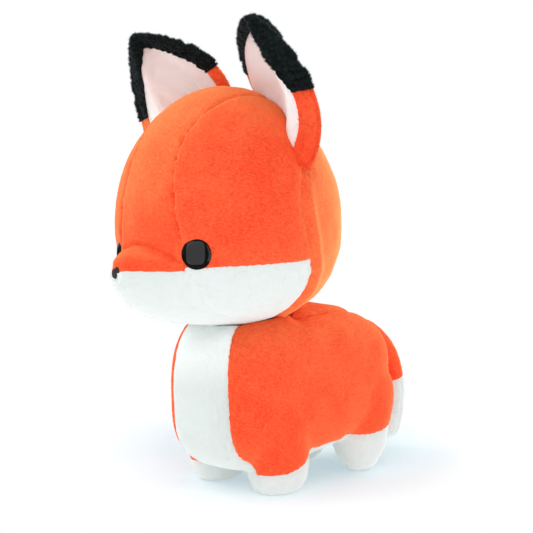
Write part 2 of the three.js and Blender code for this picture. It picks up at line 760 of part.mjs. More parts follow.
function tailForm(inset) {
  const places = tailLine.map(([depth, height]) => new THREE.Vector3(0, depth, height));
  const line = new THREE.CatmullRomCurve3(places);
  const rows = [];
  for (let ring = 0; ring <= tailRings; ring += 1) {
    const share = blend(inset / torsoBack, 1 - inset / torsoBack, ring / tailRings);
    const centre = line.getPoint(share);
    const along = line.getTangent(share);
    const place = share * (tailRadii.length - 1);
    const before = Math.min(Math.floor(place), tailRadii.length - 2);
    const outer = blend(tailRadii[before], tailRadii[before + 1], place - before);
    const radius = Math.max(outer - inset, inset / 2);
    const outward = new THREE.Vector3(0, along.z, -along.y);
    const row = [];
    for (let side = 0; side < tailSides; side += 1) {
      const around = 2 * Math.PI * side / tailSides;
      const point = centre.clone().addScaledVector(outward, radius * Math.cos(around));
      point.x += radius * tailWidthShare * Math.sin(around);
      row.push(point);
    }
    rows.push(row);
  }
  return ringForm(rows);
}

function tailTipBlock(clear) {
  const front = torsoBack;
  const back = tailLine[3][0] + tailRadii[3];
  const outline = [
    [front, tailTipFrontHeight + clear],
    [back, tailTipBackHeight + clear],
    [back + cutOverrun, tailTipBackHeight + clear],
    [back + cutOverrun, -cutOverrun],
    [front - cutOverrun, -cutOverrun],
    [front - cutOverrun, tailTipFrontHeight + clear],
  ];
  return prism(outline, 'x', -torsoBack, torsoBack);
}

function buildTail() {
  const hinge = new THREE.Vector3(0, tailHingePlace, tailHingeHeight);
  const rump = torsoForm(-tailSeat, torsoSides, torsoRings);
  let room = rump;
  for (const lift of [tailLiftDeg / 2, tailLiftDeg]) {
    room = room.add(turned(rump, hinge, new THREE.Vector3(-1, 0, 0), lift));
  }
  const cloth = tailForm(0).subtract(tailForm(tailPlushThickness)).subtract(room);
  addPiece('tail_base_panel', cloth.subtract(tailTipBlock(seamGap / 2)), orangePlush);
  addPiece('tail_tip_panel', cloth.intersect(tailTipBlock(-seamGap / 2)), whitePlush);
  addPiece('tail_stuffing', tailForm(tailPlushThickness + layerGap).subtract(room), stuffingFibre);
}

buildHead();
buildEars();
buildTorso();
buildTail();

export default fox;
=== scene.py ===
"""A standing plush fox with a large round head, in orange, white and black cloth.

The pieces follow the toy as it is sewn: head, eyes and nose, ears, torso with
its legs, tail, neck. Shapes are worked out in millimetres and placed in metres.
"""
import math

import bmesh
import bpy
import numpy as np
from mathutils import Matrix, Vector


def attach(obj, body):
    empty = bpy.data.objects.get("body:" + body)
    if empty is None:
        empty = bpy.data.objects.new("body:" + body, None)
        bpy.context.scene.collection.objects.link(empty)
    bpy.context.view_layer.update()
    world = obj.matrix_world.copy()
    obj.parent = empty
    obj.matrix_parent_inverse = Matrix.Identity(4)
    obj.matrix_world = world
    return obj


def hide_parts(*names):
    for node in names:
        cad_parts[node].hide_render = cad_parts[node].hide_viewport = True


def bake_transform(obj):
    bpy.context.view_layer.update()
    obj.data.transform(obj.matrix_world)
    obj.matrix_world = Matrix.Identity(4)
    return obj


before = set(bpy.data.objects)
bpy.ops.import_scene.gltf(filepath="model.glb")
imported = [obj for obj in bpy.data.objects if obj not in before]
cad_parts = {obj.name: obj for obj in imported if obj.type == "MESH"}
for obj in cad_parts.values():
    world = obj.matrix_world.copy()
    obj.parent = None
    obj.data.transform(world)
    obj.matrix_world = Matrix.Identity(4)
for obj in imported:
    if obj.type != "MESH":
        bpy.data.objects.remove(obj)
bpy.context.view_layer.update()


# The place where the toy stands: a pale floor that runs out into white, seen
# from the toy's front left, a little above the middle of its height. The lamps
# are large and soft, as in a photographer's light tent.
view_azimuth = math.radians(44)
view_distance = 0.645
view_height = 0.158
view_drop = math.radians(3.1)
view_lens = 76.3
floor_half = 2.0
shade_middle = (-0.060, 0.074, 0.0)
shade_half_width, shade_half_depth = 0.145, 0.190
shade_colour = (0.22, 0.40, 0.47, 1.0)
white_seen = (1.0, 1.0, 1.0, 1.0)


def feed(target, inputs):
    """Sets inputs of a node, each to a value or wired to the output of another node."""
    for name, value in inputs.items():
        if isinstance(value, bpy.types.NodeSocket):
            target.id_data.links.new(value, target.inputs[name])
        else:
            target.inputs[name].default_value = value


def node(tree, kind, inputs, output=0, **settings):
    """Adds a shader node with its settings and inputs, and gives one of its outputs."""
    made = tree.nodes.new("ShaderNode" + kind)
    for name, value in settings.items():
        setattr(made, name, value)
    feed(made, inputs)
    return made.outputs[output]


def blend_colours(tree, share, first, second):
    return node(tree, "Mix", {"Factor": share, "A": first, "B": second}, "Result", data_type="RGBA")


def seen_directly(tree):
    """1 for rays of the camera and mirrored ones, and all the outputs of Light Path."""
    rays = node(tree, "LightPath", {}).node.outputs
    direct = {0: rays["Is Camera Ray"], 1: rays["Is Glossy Ray"]}
    return node(tree, "Math", direct, operation="MAXIMUM"), rays


def new_object(name, data):
    made = bpy.data.objects.new(name, data)
    bpy.context.collection.objects.link(made)
    return made


def new_material(name):
    material = bpy.data.materials.new(name)
    material.use_nodes = True
    return material, material.node_tree, material.node_tree.nodes["Principled BSDF"]


camera_data = bpy.data.cameras.new("view")
camera_data.lens = view_lens
camera = new_object("view", camera_data)
camera.location = (
    view_distance * math.sin(view_azimuth),
    -view_distance * math.cos(view_azimuth),
    view_height,
)
camera.rotation_euler = (math.radians(90) - view_drop, 0, view_azimuth)
bpy.context.scene.camera = camera
bpy.context.scene.view_settings.view_transform = "Standard"

bpy.ops.mesh.primitive_plane_add(size=2 * floor_half)
floor = bpy.context.object
floor.name = "floor"
floor_material, tree, floor_shader = new_material("pale floor")
# The floor glows faintly, and so also lights the toy from below.
feed(floor_shader, {
    "Base Color": (0.90, 0.935, 0.955, 1), "Roughness": 0.8, "Specular IOR Level": 0.2,
    "Emission Color": (1, 1, 1, 1), "Emission Strength": 0.35})
# Painted shadow: the camera sees the floor partly through a glow of bluish shade colour in an oval round the
# toy, which fades out to white.
oval = node(tree, "Mapping", {
    "Vector": node(tree, "NewGeometry", {}, "Position"), "Location": shade_middle,
    "Rotation": (0, 0, view_azimuth), "Scale": (shade_half_width, shade_half_depth, 1),
}, vector_type="TEXTURE")
reach = node(tree, "VectorMath", {0: oval}, "Value", operation="LENGTH")
fade = node(tree, "MapRange", {
    "Value": reach, "From Min": 0.55, "From Max": 1.10, "To Min": 0.5,
}, interpolation_type="SMOOTHSTEP")
whiten = node(tree, "MapRange", {
    "Value": reach, "From Min": 0.45, "From Max": 0.95,
}, interpolation_type="SMOOTHSTEP")
glow = node(tree, "Emission", {"Color": blend_colours(tree, whiten, shade_colour, white_seen)})
seen, _ = seen_directly(tree)
share = node(tree, "Math", {0: seen, 1: fade}, operation="MULTIPLY")
surface = node(tree, "MixShader", {0: share, 1: floor_shader.outputs[0], 2: glow})
feed(tree.nodes["Material Output"], {"Surface": surface})
floor.data.materials.append(floor_material)

world = bpy.data.worlds.new("light tent")
world.use_nodes = True
bpy.context.scene.world = world
tree = world.node_tree
ambient = tree.nodes["Background"]
feed(ambient, {"Color": white_seen, "Strength": 0.53})
backdrop = node(tree, "Background", {"Color": white_seen, "Strength": 1.0})
seen, rays = seen_directly(tree)
clear = node(tree, "Math", {0: seen, 1: rays["Is Transmission Ray"]}, operation="MAXIMUM")
surface = node(tree, "MixShader", {0: clear, 1: ambient.outputs[0], 2: backdrop})
feed(tree.nodes["World Output"], {"Surface": surface})

lamp_size = 0.9
lamp_aim = Vector((0, -0.02, 0.13))
for name, place, watts in (
    ("left lamp", (0.64, -0.66, 1.02), 5.2),
    ("right lamp", (-0.64, -0.66, 1.02), 9.0),
    ("back lamp", (0.0, 1.22, 0.53), 11.0),
    ("side lamp", (1.0, 0.45, 0.35), 1.2),
):
    lamp_data = bpy.data.lights.new(name, "AREA")
    lamp_data.shape = "SQUARE"
    lamp_data.size = lamp_size
    lamp_data.energy = watts
    lamp = new_object(name, lamp_data)
    lamp.location = place
    lamp.visible_glossy = False
    lamp.rotation_euler = (lamp_aim - Vector(place)).to_track_quat("-Z", "Y").to_euler()


# The head: eight panels of short plush, a gusset from snout to crown between two
# face panels, white cheeks and chin below the lip line, and two back panels. They
# are sewn inside out, turned and stuffed, so every seam draws in a little.
metre = 0.001
head_half_width = 60.0
head_front_depth = 55.2
head_back_depth = 66.0
head_crown = 74.0
head_chin = 55.5
head_bottom = 93.1
head_forward = 34.0
head_height = head_crown + head_chin
head_centre = np.array([0.0, -head_forward, head_bottom + head_chin])
snout_reach, snout_height, snout_half_width = 26.6, 32.8, 18.0
snout_fall, snout_power = 47.0, 2.2
snout_start, snout_full = 0.1, 0.6
crown_power, chin_power, plan_power = 1.95, 2.4, 2.2
ball_steps = 7
cloth_thickness, panel_fill, wadding_fill, lump_size = 2.4, 0.85, 0.7, 7.0
gusset_heights = head_bottom + head_height * np.array(
    [0.208, 0.316, 0.439, 0.555, 0.671, 0.748, 0.825, 0.887, 0.934, 1.01])
gusset_widths = head_half_width * np.array(
    [0.417, 0.417, 0.333, 0.275, 0.233, 0.225, 0.25, 0.308, 0.358, 0.4])
gusset_right_widths = head_half_width * np.array(
    [0.417, 0.43, 0.43, 0.425, 0.4, 0.375, 0.358, 0.358, 0.375, 0.4])
side_heights = head_bottom + head_height * np.array(
    [0, 0.092, 0.154, 0.219, 0.285, 0.37, 0.478, 0.563, 0.64, 0.795, 0.95, 1.03])
side_depths = head_back_depth * np.array(
    [0.18, 0.21, 0.23, 0.2, 0.14, 0.075, 0.01, 0.02, 0.06, 0.165, 0.27, 0.285]) - head_forward
lip_front, lip_back, lip_back_place = 126.2, 129.7, -25.7
lip_sag = 1.5
fold_places = [-29, -16.5, -11, -6.5, -1.5, 6, 12.5, 18.3, 21.3, 28]
fold_heights = [131, 136.1, 137.1, 137.4, 137.1, 135.2, 132.8, 130.4, 128.2, 127]
bill_step, bill_power, bridge_share, bridge_height = 0.145, 2.1, 0.05, 16.0
fold_depth, fold_swell, lip_pinch, lip_rise = 1.35, 0.4, 0.9, 1.3
eye_spots = {1: np.array([31.6, -82.6, 133.7]), -1: np.array([-32.0, -80.3, 132.1])}
eye_turns = {1: math.radians(41), -1: math.radians(44.2)}
nose_spot = np.array([0.0, -110.5, 123.6])
chin_half_width = 27.0
fray_depth, fray_size, comb_scatter = 0.35, 1.4, 0.45
snout_root, eye_flat, eye_sink = -80, 10.0, 0.3
side_roll, roll_place, roll_width = 1.3, 5.0, 3.0
side_seam, side_seam_more, side_seam_width, ear_foot = 1.7, 0.6, 1.2, 172
# Of each other seam: its depth, its width and, if it isn't the usual, its spread.
lip_seam, gusset_seam, chin_seam, middle_seam = (0.6, 0.7), (1.8, 0.7, 0.3), (0.6, 0.8), (1.3, 0.8)
grain_depth, grain_size, lumps_depth, lumps_size = 0.07, 1.3, 0.4, 9.0

orange = (1.0, 0.130, 0.045, 1)
deep_orange = (1.0, 0.070, 0.024, 1)
# Lighter oranges that paint in light where more of it falls.
painted_lit_orange = (1.0, 0.175, 0.056, 1)
painted_lit_deep_orange = (1.0, 0.100, 0.032, 1)
white = (0.695, 0.74, 0.72, 1)
deep_white = (0.68, 0.725, 0.705, 1)
lattice_cells = 32
lattice = np.random.default_rng(11).uniform(-1, 1, (lattice_cells,) * 3)


def smooth_line(places, values, steps=6):
    """A table read along a curve without corners, as a function of the place."""
    fine = np.linspace(places[0], places[-1], steps * len(places))
    rough = np.interp(fine, places, values)
    for _ in range(steps):
        rough[1:-1] = (rough[:-2] + 2 * rough[1:-1] + rough[2:]) / 4
    return lambda place: np.interp(place, fine, rough)


fold_height = smooth_line(fold_places, fold_heights)


def ball_mesh(steps):
    ball = bmesh.new()
    bmesh.ops.create_icosphere(ball, subdivisions=steps, radius=1)
    points = np.array([corner.co[:] for corner in ball.verts])
    faces = np.array([[corner.index for corner in face.verts] for face in ball.faces])
    ball.free()
    return points, faces


def bell(gap, width):
    """1 where the gap is zero, falling off smoothly over the width."""
    return np.exp(-(gap / width) ** 2)


def head_surface(directions, inset=0.0):
    """Where rays from the middle of the head meet its cloth, inset millimetres in."""
    across, depth, rise = directions.T
    depth_size = np.where(depth < 0, head_front_depth, head_back_depth) - inset
    rise_size = np.where(rise > 0, head_crown, head_chin) - inset
    power = np.where(rise > 0, crown_power, chin_power)
    plan = (np.abs(across / (head_half_width - inset)) ** plan_power
            + np.abs(depth / depth_size) ** plan_power)
    size = (plan ** (power / plan_power) + np.abs(rise / rise_size) ** power) ** (-1 / power)
    points = directions * size[:, None]
    facing = np.clip((-points[:, 1] / depth_size - snout_start) / (snout_full - snout_start), 0, 1)
    facing = facing * facing * (3 - 2 * facing)
    offset = points[:, 2] + head_chin - snout_height
    crest = np.maximum(fold_height(points[:, 0]) - head_bottom - snout_height, 2.0)
    fade = np.exp(-np.abs(np.minimum(offset, 0) / (snout_fall - inset / 2)) ** snout_power)
    fade -= bill_step * np.clip((offset + 1.5) / 3, 0, 1)
    fade -= (1 - bridge_share - bill_step) * np.clip(offset / crest, 0, 1) ** bill_power
    fade -= bridge_share * np.clip((offset - crest) / bridge_height, 0, 1)
    fade *= bell(points[:, 0], snout_half_width - inset / 2)
    points[:, 1] -= snout_reach * facing * fade
    return points + head_centre


def lengths(vectors):
    return np.linalg.norm(vectors, axis=1)


def unit(vectors):
    return vectors / np.maximum(lengths(vectors), 1e-9)[:, None]


def face_normals(points, faces):
    """The way each triangle faces, as long as twice its area."""
    first, second, third = points[faces].transpose(1, 0, 2)
    return np.cross(second - first, third - first)


def point_normals(points, faces):
    normals = np.zeros_like(points)
    faced = face_normals(points, faces)
    for corner in range(3):
        np.add.at(normals, faces[:, corner], faced)
    return unit(normals)


def flattened(vectors, normals):
    """The part of each vector that runs along the surface."""
    return vectors - normals * (vectors * normals).sum(1)[:, None]


def cut(points, faces, value):
    """The part of a mesh where value is below zero, with new points on the line."""
    inside = value < 0
    count = inside[faces].sum(1)
    mixed = faces[(count == 1) | (count == 2)]
    odd = inside[mixed] == (inside[mixed].sum(1) == 1)[:, None]
    turn = (odd.argmax(1)[:, None] + np.arange(3)) % 3
    mixed = np.take_along_axis(mixed, turn, 1)
    pairs = np.sort(np.concatenate([mixed[:, [0, 1]], mixed[:, [0, 2]]]), 1)
    pairs, order = np.unique(pairs, axis=0, return_inverse=True)
    order = order.reshape(-1)
    low, high = pairs.T
    share = (value[low] / (value[low] - value[high]))[:, None]
    added = points[low] + (points[high] - points[low]) * share
    first = order[:len(mixed)] + len(points)
    second = order[len(mixed):] + len(points)
    single = inside[mixed[:, 0]]
    kept = np.concatenate([
        faces[count == 3],
        np.stack([mixed[:, 0], first, second], 1)[single],
        np.stack([first, mixed[:, 1], mixed[:, 2]], 1)[~single],
        np.stack([first, mixed[:, 2], second], 1)[~single],
    ])
    used, kept = np.unique(kept, return_inverse=True)
    return np.concatenate([points, added])[used], kept.reshape(-1, 3)


def seam_distance(field, points, normals):
    """How far each point of a surface lies from the line where a field is zero."""
    step, least_slope = 0.05, 0.35
    value = field(points)
    slope = np.stack([(field(points + step * axis) - value) / step for axis in np.eye(3)], 1)
    return value / np.maximum(lengths(flattened(slope, normals)), least_slope)


def draw_in(distance, depth, width, spread=0.45):
    """How deep a seam pulls the cloth in: a broad dip with a fine fold in it."""
    gap = np.abs(distance)
    return depth * (spread * bell(gap, 3 * width) + (1 - spread) * np.exp(-gap / width))


def mottle(points, size):
    """Soft random values from -1 to 1 that change over about size millimetres."""
    cell = points / size
    low = np.floor(cell).astype(int)
    part = cell - low
    part = part * part * (3 - 2 * part)
    total = np.zeros(len(points))
    for corner in np.ndindex(2, 2, 2):
        weight = np.prod(np.where(corner, part, 1 - part), axis=1)
        first, second, third = ((low + corner) % lattice_cells).T
        total += weight * lattice[first, second, third]
    return total


def thicken(points, faces, normals, thickness):
    """A closed piece of cloth: the surface, its back and the edge between them."""
    count = len(points)
    edges = np.concatenate([faces[:, [0, 1]], faces[:, [1, 2]], faces[:, [2, 0]]])
    keys = np.sort(edges, 1)
    _, order, times = np.unique(keys, axis=0, return_inverse=True, return_counts=True)
    rim = edges[times[order.reshape(-1)] == 1]
    low, high = rim.T
    walls = np.concatenate([
        np.stack([high, low, low + count], 1), np.stack([high, low + count, high + count], 1)])
    both = np.concatenate([points, points - normals * thickness])
    return both, np.concatenate([faces, faces[:, ::-1] + count, walls])


def pile(points, faces, normals, lay, seed, density, length, girth, lift):
    """Short fibres rooted in a cloth: closed spikes that lie over along lay."""
    rng = np.random.default_rng(seed)
    area = lengths(face_normals(points, faces))
    count = int(area.sum() / 2 * density)
    pick = rng.choice(len(faces), count, p=area / area.sum())
    first, second = rng.random((2, count))
    over = first + second > 1
    first[over], second[over] = 1 - first[over], 1 - second[over]
    weights = np.stack([1 - first - second, first, second], 1)[:, :, None]
    root = (points[faces[pick]] * weights).sum(1)
    normal = unit((normals[faces[pick]] * weights).sum(1))
    comb = unit(flattened(lay(root) + rng.normal(0, comb_scatter, (count, 3)), normal))
    rise = rng.uniform(lift * 0.6, lift * 1.4, count)[:, None]
    heading = normal * rise + comb * np.sqrt(np.maximum(1 - rise * rise, 0.05))
    side = unit(np.cross(heading, normal)) * girth / 2
    under = np.cross(side, heading)
    sunk = root - heading * girth * 1.5
    tips = root + heading * (length * rng.uniform(0.65, 1.25, count))[:, None]
    spikes = np.stack([sunk + side, sunk - side, sunk + under, tips], 1)
    base = 4 * np.arange(count)[:, None, None]
    spike_faces = base + np.array([[0, 2, 1], [0, 1, 3], [1, 2, 3], [2, 0, 3]])
    leaning = np.repeat(normal[:, None, :], 4, axis=1)
    return spikes.reshape(-1, 3), spike_faces.reshape(-1, 3), leaning.reshape(-1, 3)


def add_mesh(name, points, faces, material, normals=None):
    mesh = bpy.data.meshes.new(name)
    mesh.from_pydata((points * metre).tolist(), [], faces.tolist())
    mesh.materials.append(material)
    mesh.shade_smooth()
    if normals is not None:
        mesh.normals_split_custom_set_from_vertices(normals.tolist())
    return new_object(name, mesh)


def settle(piece, bodies, stands_for):
    """Attaches a piece to the body it rides on, and hides the solid it stands for.

    bodies is one body, or (body, next body, start, end): such a piece stays where it is, unattached, and the
    four are not used.
    """
    if isinstance(bodies, str):
        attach(piece, bodies)
    else:
        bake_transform(piece)
    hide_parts(stands_for)


def combed_back(points):
    """The way the pile lies: backwards and a little down."""
    return np.tile([0.0, 1.0, -0.35], (len(points), 1))


pile_shade = bpy.data.node_groups.new("pile shade", "ShaderNodeTree")
for name, kind, direction in (
    ("Colour", "Color", "INPUT"), ("Deep colour", "Color", "INPUT"),
    ("Fibre size", "Float", "INPUT"), ("Contrast", "Float", "INPUT"),
    ("Colour", "Color", "OUTPUT"), ("Height", "Float", "OUTPUT"),
):
    pile_shade.interface.new_socket(name=name, in_out=direction, socket_type="NodeSocket" + kind)
given = pile_shade.nodes.new("NodeGroupInput").outputs
place = node(pile_shade, "TexCoord", {}, "Object")
stretch = node(pile_shade, "Mapping", {
    "Vector": place, "Rotation": (0.12, 0.1, 0.0), "Scale": (0.45, 0.45, 1.0)})
fibres = node(pile_shade, "TexNoise", {
    "Vector": stretch, "Scale": given["Fibre size"], "Detail": 3.0, "Roughness": 0.65})
strokes = node(pile_shade, "TexNoise", {"Vector": place, "Scale": 45.0, "Detail": 2.0})
balance = node(pile_shade, "Mix", {
    "Factor": 0.3, "A": fibres, "B": strokes}, "Result", data_type="FLOAT")
spread = node(pile_shade, "MapRange", {"Value": balance, "From Min": 0.41, "From Max": 0.61})
amount = node(pile_shade, "Math", {0: spread, 1: given["Contrast"]}, operation="MULTIPLY")
feed(pile_shade.nodes.new("NodeGroupOutput"), {
    "Colour": blend_colours(pile_shade, amount, given["Colour"], given["Deep colour"]),
    "Height": fibres})


def plush_material(name, colour, deep, rim, painted_rim_share, sheen, tint,
                   contrast=1.0, fibre_size=1400.0, bump=0.33, painted_top_light=None):
    """Short pile: mottled colour, with a painted sheen: lighter, towards the rim colour, where it is seen
    from the side.

    The last argument, if given, is (low height, high height, colour, deep colour):
    painted light, the colours turning to these lighter ones towards the high height.
    """
    material, tree, shader = new_material(name)
    # Painted light: lighter colours towards the top.
    if painted_top_light:
        height = node(tree, "SeparateXYZ", {0: node(tree, "TexCoord", {}, "Object")}, "Z")
        rising = node(tree, "MapRange", {
            "Value": height, "From Min": painted_top_light[0], "From Max": painted_top_light[1],
        }, interpolation_type="SMOOTHSTEP")
        colour = blend_colours(tree, rising, colour, painted_top_light[2])
        deep = blend_colours(tree, rising, deep, painted_top_light[3])
    shade = node(tree, "Group", {
        "Colour": colour, "Deep colour": deep, "Fibre size": fibre_size, "Contrast": contrast,
    }, "Colour", node_tree=pile_shade)
    # Painted sheen: where the surface is seen edge-on its colour turns towards the rim colour.
    edge = node(tree, "LayerWeight", {"Blend": 0.5}, "Facing")
    narrow = node(tree, "Math", {0: edge, 1: 2.0}, operation="POWER")
    part = node(tree, "Math", {0: narrow, 1: painted_rim_share}, operation="MULTIPLY")
    grain = node(tree, "Bump", {
        "Height": shade.node.outputs["Height"], "Strength": bump, "Distance": 0.0006})
    feed(shader, {
        "Base Color": blend_colours(tree, part, shade, rim), "Normal": grain,
        "Roughness": 0.95, "Specular IOR Level": 0.1,
        "Sheen Weight": sheen, "Sheen Roughness": 0.45, "Sheen Tint": tint})
    return material


# Each look's rim colour is the painted sheen of its pile.
orange_look = dict(
    colour=orange, deep=deep_orange, rim=(1.0, 0.36, 0.13, 1), painted_rim_share=0.5,
    sheen=0.06, tint=(1.0, 0.35, 0.12, 1))
upper_look = dict(orange_look, rim=(1.0, 0.40, 0.14, 1), painted_rim_share=0.55)
white_look = dict(
    colour=white, deep=deep_white, rim=(0.84, 0.87, 0.86, 1), painted_rim_share=0.5,
    sheen=0.04, tint=(1, 1, 1, 1), contrast=0.3, bump=0.03)
orange_plush = plush_material("orange plush", **orange_look)
# Painted light: the back of the head and one ear are orange painted lighter, as if lit more strongly.
painted_light_plush = plush_material(
    "orange plush, painted lighter as if lit", painted_lit_orange, painted_lit_deep_orange, (1.0, 0.50, 0.18, 1), 0.9,
    0.10, (1.0, 0.45, 0.16, 1))
# Painted light: the forehead and face panels turn lighter towards the top of the head.
top_lit_orange_plush = plush_material(
    "orange plush, painted lighter towards the top",
    painted_top_light=(0.138, 0.205, (1.0, 0.215, 0.068, 1), (1.0, 0.135, 0.042, 1)), **upper_look)
crown_lit_orange_plush = plush_material(
    "orange plush, painted lighter at the crown",
    painted_top_light=(0.190, 0.222, (1.0, 0.190, 0.060, 1), (1.0, 0.120, 0.038, 1)), **upper_look)
white_plush = plush_material("white plush", **white_look)
nap = {
    "orange_plush": dict(density=2.0, length=1.4, girth=0.16, lift=0.16),
    "white_plush": dict(density=1.2, length=0.9, girth=0.12, lift=0.12),
}

gusset_left = smooth_line(gusset_heights, gusset_widths)
gusset_right = smooth_line(gusset_heights, gusset_right_widths)
side_depth = smooth_line(side_heights, side_depths)


def side_field(points):
    return points[:, 1] - side_depth(points[:, 2])


def lip_field(points):
    slope = (lip_back - lip_front) / (lip_back_place + head_forward + head_front_depth)
    line = lip_front + slope * (points[:, 1] + head_forward + head_front_depth)
    across = np.abs(points[:, 0])
    sag = lip_sag * np.clip((across - 8) / 12, 0, 1) * (across < gusset_left(points[:, 2]) + 0.4)
    rise = lip_rise * bell(across, 8) * (points[:, 1] < snout_root)
    return points[:, 2] - line + sag - rise


def gusset_field(points):
    left = points[:, 0] - gusset_left(points[:, 2])
    return np.maximum(left, -points[:, 0] - gusset_right(points[:, 2]))


def chin_field(points):
    return np.abs(points[:, 0]) - chin_half_width


def middle_field(points):
    return points[:, 0]


def within(distance):
    """From 1 where a field is below zero to 0 a little way past it."""
    return np.clip(0.5 - distance / 1.5, 0, 1)


def pucker(points, size=3.2, amount=0.45):
    return 1 + amount * mottle(points, size)


def snout_relief(points):
    """The fold of slack cloth above the snout, and the dent the nose is pulled into."""
    across, depth, height = points.T
    front = np.clip((-78 - depth) / 6, 0, 1)
    gap = height - fold_height(across)
    ends = np.clip((across + 30) / 8, 0, 1) * np.clip((25 - across) / 6, 0, 1)
    crease = fold_depth * bell(gap, 1.3)
    swell = fold_swell * bell(gap + 3.4, 2.4)
    dimple = 2.5 * np.exp(-(lengths(points - nose_spot) / 4.6) ** 4)
    return front * ends * (crease - swell) + dimple


def head_relief(points, normals):
    """How far each point of the head's cloth lies in from the stuffed form."""
    side, lip, gusset, chin, middle = (
        seam_distance(field, points, normals)
        for field in (side_field, lip_field, gusset_field, chin_field, middle_field))
    below_ears = np.clip((ear_foot - points[:, 2]) / 12, 0, 1)
    depth = draw_in(side, side_seam + side_seam_more * below_ears, side_seam_width) * pucker(points)
    depth -= side_roll * bell(side - roll_place, roll_width) * below_ears
    depth += draw_in(lip, *lip_seam) * within(side)
    pinch = np.exp(-(lip / 3.0) ** 2 - (points[:, 0] / 13) ** 4)
    depth += lip_pinch * pinch * (points[:, 1] < snout_root)
    depth += draw_in(gusset, *gusset_seam) * within(side) * within(-lip) * pucker(points, 2.4, 0.65)
    depth += draw_in(chin, *chin_seam) * within(side) * within(lip)
    depth += draw_in(middle, *middle_seam) * within(-side)
    depth += snout_relief(points)
    left = points[:, 0] > 0
    turn = np.where(left, eye_turns[1], -eye_turns[-1])
    facing = np.stack([np.sin(turn), -np.cos(turn), np.zeros(len(points))], 1)
    across = points - np.where(left[:, None], eye_spots[1], eye_spots[-1])
    proud = (across * facing).sum(1) / np.maximum((normals * facing).sum(1), 0.5)
    beside = np.exp(-(lengths(across) / eye_flat) ** 4)
    depth = depth * (1 - beside) + (proud + eye_sink) * beside
    return depth - grain_depth * mottle(points, grain_size) - lumps_depth * mottle(points, lumps_size)


directions, head_faces = ball_mesh(ball_steps)
head_points = head_surface(directions)
head_form = np.hstack([head_points, point_normals(head_points, head_faces)])
upper, lower = [(side_field, 1), (lip_field, -1)], [(side_field, 1), (lip_field, 1)]
left_half, right_half = (middle_field, -1), (middle_field, 1)
# Painted light: the upper panels and the back panels wear orange painted lighter where more light falls.
head_panels = (
    ("forehead_panel", top_lit_orange_plush, upper + [(gusset_field, 1)]),
    ("face_panel_left", crown_lit_orange_plush, upper + [(gusset_field, -1), left_half]),
    ("face_panel_right", top_lit_orange_plush, upper + [(gusset_field, -1), right_half]),
    ("chin_panel", white_plush, lower + [(chin_field, 1)]),
    ("cheek_panel_left", white_plush, lower + [(chin_field, -1), left_half]),
    ("cheek_panel_right", white_plush, lower + [(chin_field, -1), right_half]),
    ("head_back_panel_left", painted_light_plush, [(side_field, -1), left_half]),
    ("head_back_panel_right", painted_light_plush, [(side_field, -1), right_half]),
)


def sew(name, kind, sheet, faces, depth, fibres, seed, material, bodies,
        thickness=cloth_thickness, lay=combed_back):
    """Closed cloth with its pile, from a sheet and how deep each of its points lies."""
    normals = unit(sheet[:, 3:6])
    points = sheet[:, :3] - normals * depth[:, None]
    points[:, 2] = np.maximum(points[:, 2], 0.0)
    shown = point_normals(points, faces)
    cloth, cloth_faces = thicken(points, faces, normals, thickness)
    tufts, tuft_faces, tuft_normals = pile(points, faces, shown, lay, seed, **fibres)
    shape = np.concatenate([cloth, tufts])
    shape[:, 2] = np.maximum(shape[:, 2], 0.0)
    piece = add_mesh(
        name + "_" + kind, shape, np.concatenate([cloth_faces, tuft_faces + len(cloth)]),
        material, np.concatenate([shown, -shown, tuft_normals]))
    settle(piece, bodies, name)


def sew_panels(panels, form, form_faces, relief, body, seed):
    """Cuts panels out of a stuffed form along their fields, a little frayed, and sews them."""
    for order, (name, material, fields) in enumerate(panels):
        sheet, faces = form, form_faces
        for field, sign in fields:
            fray = fray_depth * mottle(sheet[:, :3], fray_size)
            sheet, faces = cut(sheet, faces, sign * (field(sheet[:, :3]) + fray))
        depth = relief(sheet[:, :3], unit(sheet[:, 3:6]))
        slot = "white_plush" if "white" in material.name else "orange_plush"
        sew(name, "plush", sheet, faces, depth, nap[slot], seed + order, material,
            body)


sew_panels(head_panels, head_form, head_faces, head_relief, "head", 100)

wadding_material, tree, wadding_shader = new_material("polyester wadding")
tufted = node(tree, "Group", {
    "Colour": (0.90, 0.89, 0.85, 1), "Deep colour": (0.72, 0.71, 0.67, 1),
    "Fibre size": 260.0, "Contrast": 0.8}, "Colour", node_tree=pile_shade)
feed(wadding_shader, {"Base Color": tufted, "Roughness": 1.0})


def add_wadding(name, points, faces, body, lump=1.2):
    """Loose filling: a stuffed form a little inside the cloth, with soft lumps."""
    normals = point_normals(points, faces)
    points = points + normals * (lump * mottle(points, lump_size) - lump)[:, None]
    piece = add_mesh(name + "_wadding", points, faces, wadding_material)
    settle(piece, body, name)


core_steps, core_inset = 5, 3.6
core_directions, core_faces = ball_mesh(core_steps)
core_points = head_surface(core_directions, core_inset)
core_points -= point_normals(core_points, core_faces) * (1.6 * snout_relief(core_points))[:, None]
add_wadding("head_stuffing", core_points, core_faces, "head")


# The eyes and the nose: glossy black safety fittings. Each is a moulded dome that
# sits on the cloth, and a plain washer holds it from behind.
eye_radius, eye_dome, eye_seat, eye_bevel = 8.0, 2.6, 0.9, 0.70
nose_half_width, nose_half_height, nose_dome = 2.0, 3.2, 2.2
nose_place = (-0.3, -108.3, 123.8)
dome_sides, dome_rings, rim_height = 96, 40, 0.6
dome_slope, bevel_slope, bevel_blend = 8, 46, 0.06
halves = {"left": 1, "right": -1}


